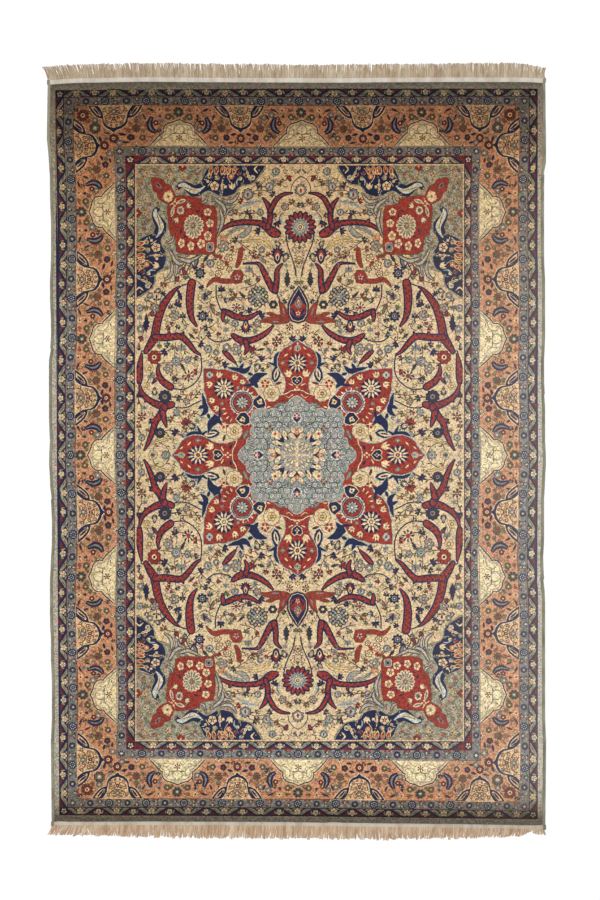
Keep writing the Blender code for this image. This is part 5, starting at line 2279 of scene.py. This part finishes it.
# Two cords side by side, as shares of the binding's half width and half height
BINDING_PROFILE = [(-1, 0), (-0.88, 0.6), (-0.52, 0.96), (-0.16, 0.74), (0, 0.58), (0.16, 0.74),
                   (0.52, 0.96), (0.88, 0.6), (1, 0), (0.62, -0.98), (-0.62, -0.98)]


def build_binding(side, node, settings):
    """An overcast edge: yarn wound round two cords, all along the side."""
    low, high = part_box(node)
    half_width, half_height = BINDING_WIDTH / 2, (high.z - low.z) / 2
    pitch = settings.wrap_pitch * 1
    rings = max(2, round((high.y - low.y) / pitch * 2))
    vertices, faces = [], []
    chance = random.Random(31 + side)
    count = len(BINDING_PROFILE)
    for ring in range(rings + 1):
        y = low.y + (high.y - low.y) * ring / rings
        size = 1.0 if ring % 2 else 0.9
        size *= 1 + chance.uniform(-0.02, 0.02)
        middle = binding_middle(side, y)
        for share_x, share_z in BINDING_PROFILE:
            slant = share_x * settings.wrap_pitch * 0.3
            place = min(max(y + slant, low.y), high.y)
            vertices.append((middle + share_x * half_width * size, place,
                             low.z + half_height + share_z * half_height * size))
        if ring:
            for k in range(count):
                a, b = (ring - 1) * count + k, (ring - 1) * count + (k + 1) % count
                faces.append([a, b, b + count, a + count])
    faces.append(list(range(count)))
    faces.append(list(range(len(vertices) - count, len(vertices)))[::-1])
    values = {"Yarn": shade(150, 146, 126), "Stain": shade(112, 108, 92), "Staining": 0.8}
    material = textile_material(node + "_wool", flat_weave_group(), values, 0.0006, 0.9, 0.1)
    made = new_object(node + "_wrapping", vertices, faces, material)
    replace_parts(made, node)
    return made


def build_band(end, settings):
    """The flat-woven band between the pile and the fringe."""
    y_near = PILE_HIGH.y if end > 0 else PILE_LOW.y
    left, right = between(SIDES[-1], y_near), between(SIDES[1], y_near)
    columns, rows = 220, 6
    vertices, faces = [], []
    for row in range(rows + 1):
        for column in range(columns + 1):
            x = left + (right - left) * column / columns
            away = GAP + BAND_WIDTHS[end] * row / rows
            weave = settings.band_height * (1 - 0.12 * ((row + column) % 2))
            vertices.append((x, between(ENDS[end], x) + end * away, weave))
    width = columns + 1
    for row in range(rows):
        for column in range(columns):
            a = row * width + column
            faces.append([a, a + 1, a + 1 + width, a + width][::end])
    start = len(vertices)
    vertices += [(x, y, 0.0004) for x, y, z in vertices[:start]]
    for row in range(rows):
        for column in range(columns):
            a = start + row * width + column
            faces.append([a, a + width, a + 1 + width, a + 1][::end])
    rim = [column for column in range(width)]
    rim += [row * width + columns for row in range(1, rows + 1)]
    rim += [rows * width + column for column in range(columns - 1, -1, -1)]
    rim += [row * width for row in range(rows - 1, 0, -1)]
    for a, b in zip(rim, rim[1:] + rim[:1]):
        faces.append([a, a + start, b + start, b][::end])
    name = "upper" if end > 0 else "lower"
    yarn, stain = ((207, 200, 191), (180, 167, 147)) if end > 0 else ((197, 190, 176), (167, 153, 129))
    values = {"Yarn": shade(*yarn), "Stain": shade(*stain), "Staining": 0.7}
    material = textile_material("band_cotton_" + name, flat_weave_group(), values, 0.0008, 0.9, 0.05)
    made = new_object("band_" + name, vertices, faces, material)
    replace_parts(made, "fringe_" + name)
    return made


def strand(path, radius, sides, vertices, faces):
    """A thin tube along the path, narrower at its tip."""
    start = len(vertices)
    for i, (x, y, z) in enumerate(path):
        size = radius * (1 - 0.25 * i / (len(path) - 1))
        for k in range(sides):
            angle = math.tau * k / sides
            vertices.append((x + size * math.cos(angle), y, max(z + size * math.sin(angle), 0.0001)))
    for i in range(len(path) - 1):
        for k in range(sides):
            a, b = start + i * sides + k, start + i * sides + (k + 1) % sides
            faces.append([a, b, b + sides, a + sides])
    faces.append([start + k for k in range(sides)][::-1])
    faces.append([start + (len(path) - 1) * sides + k for k in range(sides)])


def build_fringe(end, settings):
    """The warp ends, in loose locks of a few strands each."""
    name = "upper" if end > 0 else "lower"
    y_near = PILE_HIGH.y if end > 0 else PILE_LOW.y
    left, right = between(SIDES[-1], y_near) - 0.009, between(SIDES[1], y_near) + 0.006
    chance = random.Random(settings.seed + end)
    locks = settings.locks // 1
    per_lock = settings.strands_in_lock
    heap = {"pale": ([], []), "tan": ([], [])}
    steps = 6
    for lock in range(locks):
        middle = left + (right - left) * (lock + 0.5) / locks
        spacing = (right - left) / locks
        drawn = middle - MIDDLE_ACROSS
        drift = 0.0018 * math.sin(lock * 0.9) + 0.0016 * math.sin(lock * 0.37 + 1)
        lean = eased(FRINGE_LIES, drawn, name + "_lean") + drift + chance.gauss(0, 0.0010)
        length = eased(FRINGE_LIES, drawn, name + "_length") + BAND_WIDTHS[-1] - BAND_WIDTHS[end]
        length *= chance.uniform(0.94 if end > 0 else 0.84, 1.03)
        sway = chance.uniform(-0.0014, 0.0014)
        for k in range(per_lock):
            root_x = middle + spacing * ((k + 0.5) / per_lock - 0.5)
            tone = "pale" if chance.random() < 0.45 else "tan"
            own = length * chance.uniform(0.93, 1.03)
            own_lean = lean + chance.gauss(0, 0.0014)
            root_y = between(ENDS[end], root_x) + end * (GAP + BAND_WIDTHS[end] - 0.003)
            path = []
            for i in range(steps):
                t = i / (steps - 1)
                gather = (root_x - middle) * (1 - 0.08 * math.sin(math.pi * min(t * 1.2, 1)))
                x = middle + gather + own_lean * t ** 1.4 + sway * math.sin(math.pi * 2 * t + k)
                z = 0.0022 * (1 - t) + 0.0012 + 0.0006 * math.sin(k * 2.1 + 5 * t)
                path.append((x, root_y + end * (0.003 + own) * t, z))
            strand(path, settings.strand_radius, 4, *heap[tone])
    made = []
    tones = {"upper": (("pale", (210, 197, 174), (182, 162, 136)),
                       ("tan", (190, 168, 140), (158, 136, 110))),
             "lower": (("pale", (222, 203, 178), (198, 168, 138)),
                       ("tan", (200, 170, 138), (172, 138, 106)))}
    for tone, yarn, stain in tones[name]:
        vertices, faces = heap[tone]
        values = {"Yarn": shade(*yarn), "Stain": shade(*stain), "Staining": 0.7, "Rib pitch": 0.0016}
        material = textile_material(f"fringe_{name}_{tone}", flat_weave_group(), values, 0.0004, 0.9, 0.05)
        piece = new_object(f"fringe_{name}_{tone}", vertices, faces, material)
        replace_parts(piece, "fringe_" + name)
        made.append(piece)
    return made


def build_foundation(settings):
    """The cotton warps and wefts that the knots are tied to, seen only at the edges from below."""
    columns, rows = 24, 36
    vertices, faces = [], []
    for z in (settings.back_height + 0.0003, settings.back_height + 0.0028):
        for row in range(rows + 1):
            for column in range(columns + 1):
                u = (2 * column / columns - 1) * (PILE_HALF.real - 0.4)
                v = (2 * row / rows - 1) * (PILE_HALF.imag - 0.4)
                vertices.append((*to_rug(complex(u, v)), z))
    width = columns + 1
    level = width * (rows + 1)
    for row in range(rows):
        for column in range(columns):
            a = row * width + column
            faces.append([a, a + width, a + 1 + width, a + 1])
            faces.append([level + a, level + a + 1, level + a + 1 + width, level + a + width])
    rim = [column for column in range(width)]
    rim += [row * width + columns for row in range(1, rows + 1)]
    rim += [rows * width + column for column in range(columns - 1, -1, -1)]
    rim += [row * width for row in range(rows - 1, 0, -1)]
    for a, b in zip(rim, rim[1:] + rim[:1]):
        faces.append([a, b, b + level, a + level])
    values = {"Yarn": shade(206, 196, 172), "Stain": shade(150, 134, 104)}
    material = textile_material("foundation_cotton", flat_weave_group(), values, 0.0008, 0.9, 0.05)
    made = new_object("foundation", vertices, faces, material)
    give_plan_map(made)
    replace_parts(made, "pile")
    return made


# Settings, operators and the panel


class RugPileSettings(bpy.types.PropertyGroup):
    edge_roll: bpy.props.FloatProperty(
        name="Edge roll", description="How far in the pile rolls over at its edge", default=0.0036,
        min=0.0005, unit="LENGTH", subtype="DISTANCE")
    unevenness: bpy.props.FloatProperty(
        name="Unevenness", description="How much lower the pile's hollows are", default=0.0006,
        min=0.0, unit="LENGTH", subtype="DISTANCE")
    back_height: bpy.props.FloatProperty(
        name="Back height", description="How far the knotted back is above the floor", default=0.0003,
        min=0.0, unit="LENGTH", subtype="DISTANCE")
    back_detail: bpy.props.FloatProperty(
        name="Back detail", description="Smallest shape of the design, in squares, that shows on the back",
        default=9.0, min=1.0)


class RugEdgeSettings(bpy.types.PropertyGroup):
    wrap_pitch: bpy.props.FloatProperty(
        name="Wrap pitch", description="Distance between the turns of the overcast edge", default=0.004,
        min=0.001, unit="LENGTH", subtype="DISTANCE")
    band_height: bpy.props.FloatProperty(
        name="Band height", description="Thickness of the flat-woven end bands", default=0.0026,
        min=0.0005, unit="LENGTH", subtype="DISTANCE")


class RugFringeSettings(bpy.types.PropertyGroup):
    locks: bpy.props.IntProperty(
        name="Locks", description="How many locks of strands an end has", default=215, min=1)
    strands_in_lock: bpy.props.IntProperty(
        name="Strands in a lock", description="How many strands a lock has", default=6, min=1)
    strand_radius: bpy.props.FloatProperty(
        name="Strand radius", description="Radius of a strand at its root", default=0.0014,
        min=0.0002, unit="LENGTH", subtype="DISTANCE")
    seed: bpy.props.IntProperty(name="Seed", description="Which uneven fringe is made", default=17)


class RugStageSettings(bpy.types.PropertyGroup):
    camera_height: bpy.props.FloatProperty(
        name="Camera height", description="Height of the camera above the floor", default=12.0,
        min=1.0, unit="LENGTH", subtype="DISTANCE")
    seen_length: bpy.props.FloatProperty(
        name="Seen length", description="Length of floor that the picture shows", default=3.6,
        min=0.5, unit="LENGTH", subtype="DISTANCE")
    light: bpy.props.FloatProperty(
        name="Light", description="Power of the soft lamp overhead, in watts", default=580.0, min=0.0)
    surround: bpy.props.FloatProperty(
        name="Surround", description="Strength of the even light from all round", default=0.23, min=0.0)


class RUG_OT_pile(bpy.types.Operator):
    """Knots the pile, front and back, one piece for each yarn, with its foundation"""

    bl_idname = "rug.pile"
    bl_label = "Pile and Foundation"

    def execute(self, context):
        settings = context.scene.rug_pile
        build_pile(settings)
        build_foundation(settings)
        return {"FINISHED"}


class RUG_OT_edges(bpy.types.Operator):
    """Overcasts both sides and weaves the flat bands at both ends"""

    bl_idname = "rug.edges"
    bl_label = "Bindings and Bands"

    def execute(self, context):
        settings = context.scene.rug_edge
        build_binding(-1, "binding_left", settings)
        build_binding(1, "binding_right", settings)
        build_band(1, settings)
        build_band(-1, settings)
        return {"FINISHED"}


class RUG_OT_fringes(bpy.types.Operator):
    """Lays out the strands of both fringes"""

    bl_idname = "rug.fringes"
    bl_label = "Fringes"

    def execute(self, context):
        for end in (1, -1):
            build_fringe(end, context.scene.rug_fringe)
        return {"FINISHED"}


class RUG_OT_cloth(bpy.types.Operator):
    bl_idname = "rug.cloth"
    bl_label = "Cloth"

    def execute(self, context):
        foundation = bpy.data.objects.get("foundation")
        if foundation is None:
            self.report({"ERROR"}, "Make the pile first")
            return {"CANCELLED"}
        return {"FINISHED"}


class RUG_OT_stage(bpy.types.Operator):
    """Makes the pale floor, the soft lights and the camera straight above the rug"""

    bl_idname = "rug.stage"
    bl_label = "Stage"

    def execute(self, context):
        settings = context.scene.rug_stage
        scene = context.scene
        floor_mesh = bpy.data.meshes.new("floor")
        reach = 9.0
        floor_mesh.from_pydata(
            [(-reach, -reach, 0), (reach, -reach, 0), (reach, reach, 0), (-reach, reach, 0)], [],
            [(0, 1, 2, 3)])
        floor_material = bpy.data.materials.new("floor_pale")
        floor_material.use_nodes = True
        floor_shader = floor_material.node_tree.nodes["Principled BSDF"]
        floor_shader.inputs["Base Color"].default_value = (0.96, 0.96, 0.96, 1)
        floor_shader.inputs["Roughness"].default_value = 0.9
        floor_mesh.materials.append(floor_material)
        floor = bpy.data.objects.new("floor", floor_mesh)
        scene.collection.objects.link(floor)
        lamp_data = bpy.data.lights.new("soft_lamp", "AREA")
        lamp_data.shape = "RECTANGLE"
        lamp_data.size = 7.0
        lamp_data.size_y = 8.0
        lamp_data.energy = settings.light
        lamp = bpy.data.objects.new("soft_lamp", lamp_data)
        lamp.location = (-0.2, 0.4, 6.5)
        scene.collection.objects.link(lamp)
        world = bpy.data.worlds.new("surround")
        world.use_nodes = True
        background = world.node_tree.nodes["Background"]
        background.inputs["Color"].default_value = (1, 1, 1, 1)
        background.inputs["Strength"].default_value = settings.surround
        scene.world = world
        camera_data = bpy.data.cameras.new("camera")
        camera_data.sensor_fit = "AUTO"
        camera_data.lens = camera_data.sensor_width * settings.camera_height / settings.seen_length
        camera = bpy.data.objects.new("camera", camera_data)
        camera.location = (0.012 + MIDDLE_ACROSS, 0.010 + MIDDLE_ALONG, settings.camera_height)
        scene.collection.objects.link(camera)
        scene.camera = camera
        scene.view_settings.view_transform = "Standard"
        return {"FINISHED"}


class RUG_PT_panel(bpy.types.Panel):
    """Every step of the rug, in the order in which it is built"""

    bl_idname = "RUG_PT_panel"
    bl_label = "Persian Rug"
    bl_space_type = "VIEW_3D"
    bl_region_type = "UI"
    bl_category = "Rug"

    def draw(self, context):
        for settings_name, operator in STEPS:
            box = self.layout.box()
            if settings_name:
                settings = getattr(context.scene, settings_name)
                for key in type(settings).__annotations__:
                    box.prop(settings, key)
            box.operator(operator)


STEPS = (
    ("rug_pile", "rug.pile"),
    ("rug_edge", "rug.edges"),
    ("rug_fringe", "rug.fringes"),
    ("rug_stage", "rug.stage"),
    (None, "rug.cloth"),
)
GROUPS = {
    "rug_pile": RugPileSettings,
    "rug_edge": RugEdgeSettings,
    "rug_fringe": RugFringeSettings,
    "rug_stage": RugStageSettings,
}
CLASSES = (*GROUPS.values(), RUG_OT_pile, RUG_OT_edges, RUG_OT_fringes, RUG_OT_cloth, RUG_OT_stage,
           RUG_PT_panel)


def register():
    for item in CLASSES:
        bpy.utils.register_class(item)
    for name, group in GROUPS.items():
        setattr(bpy.types.Scene, name, bpy.props.PointerProperty(type=group))


def unregister():
    for name in GROUPS:
        delattr(bpy.types.Scene, name)
    for item in reversed(CLASSES):
        bpy.utils.unregister_class(item)


def main():
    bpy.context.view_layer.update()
    register()
    for settings_name, operator in STEPS:
        group, name = operator.split(".")
        if getattr(getattr(bpy.ops, group), name)() != {"FINISHED"}:
            raise RuntimeError(operator + " did not finish")


if __name__ == "__main__":
    main()
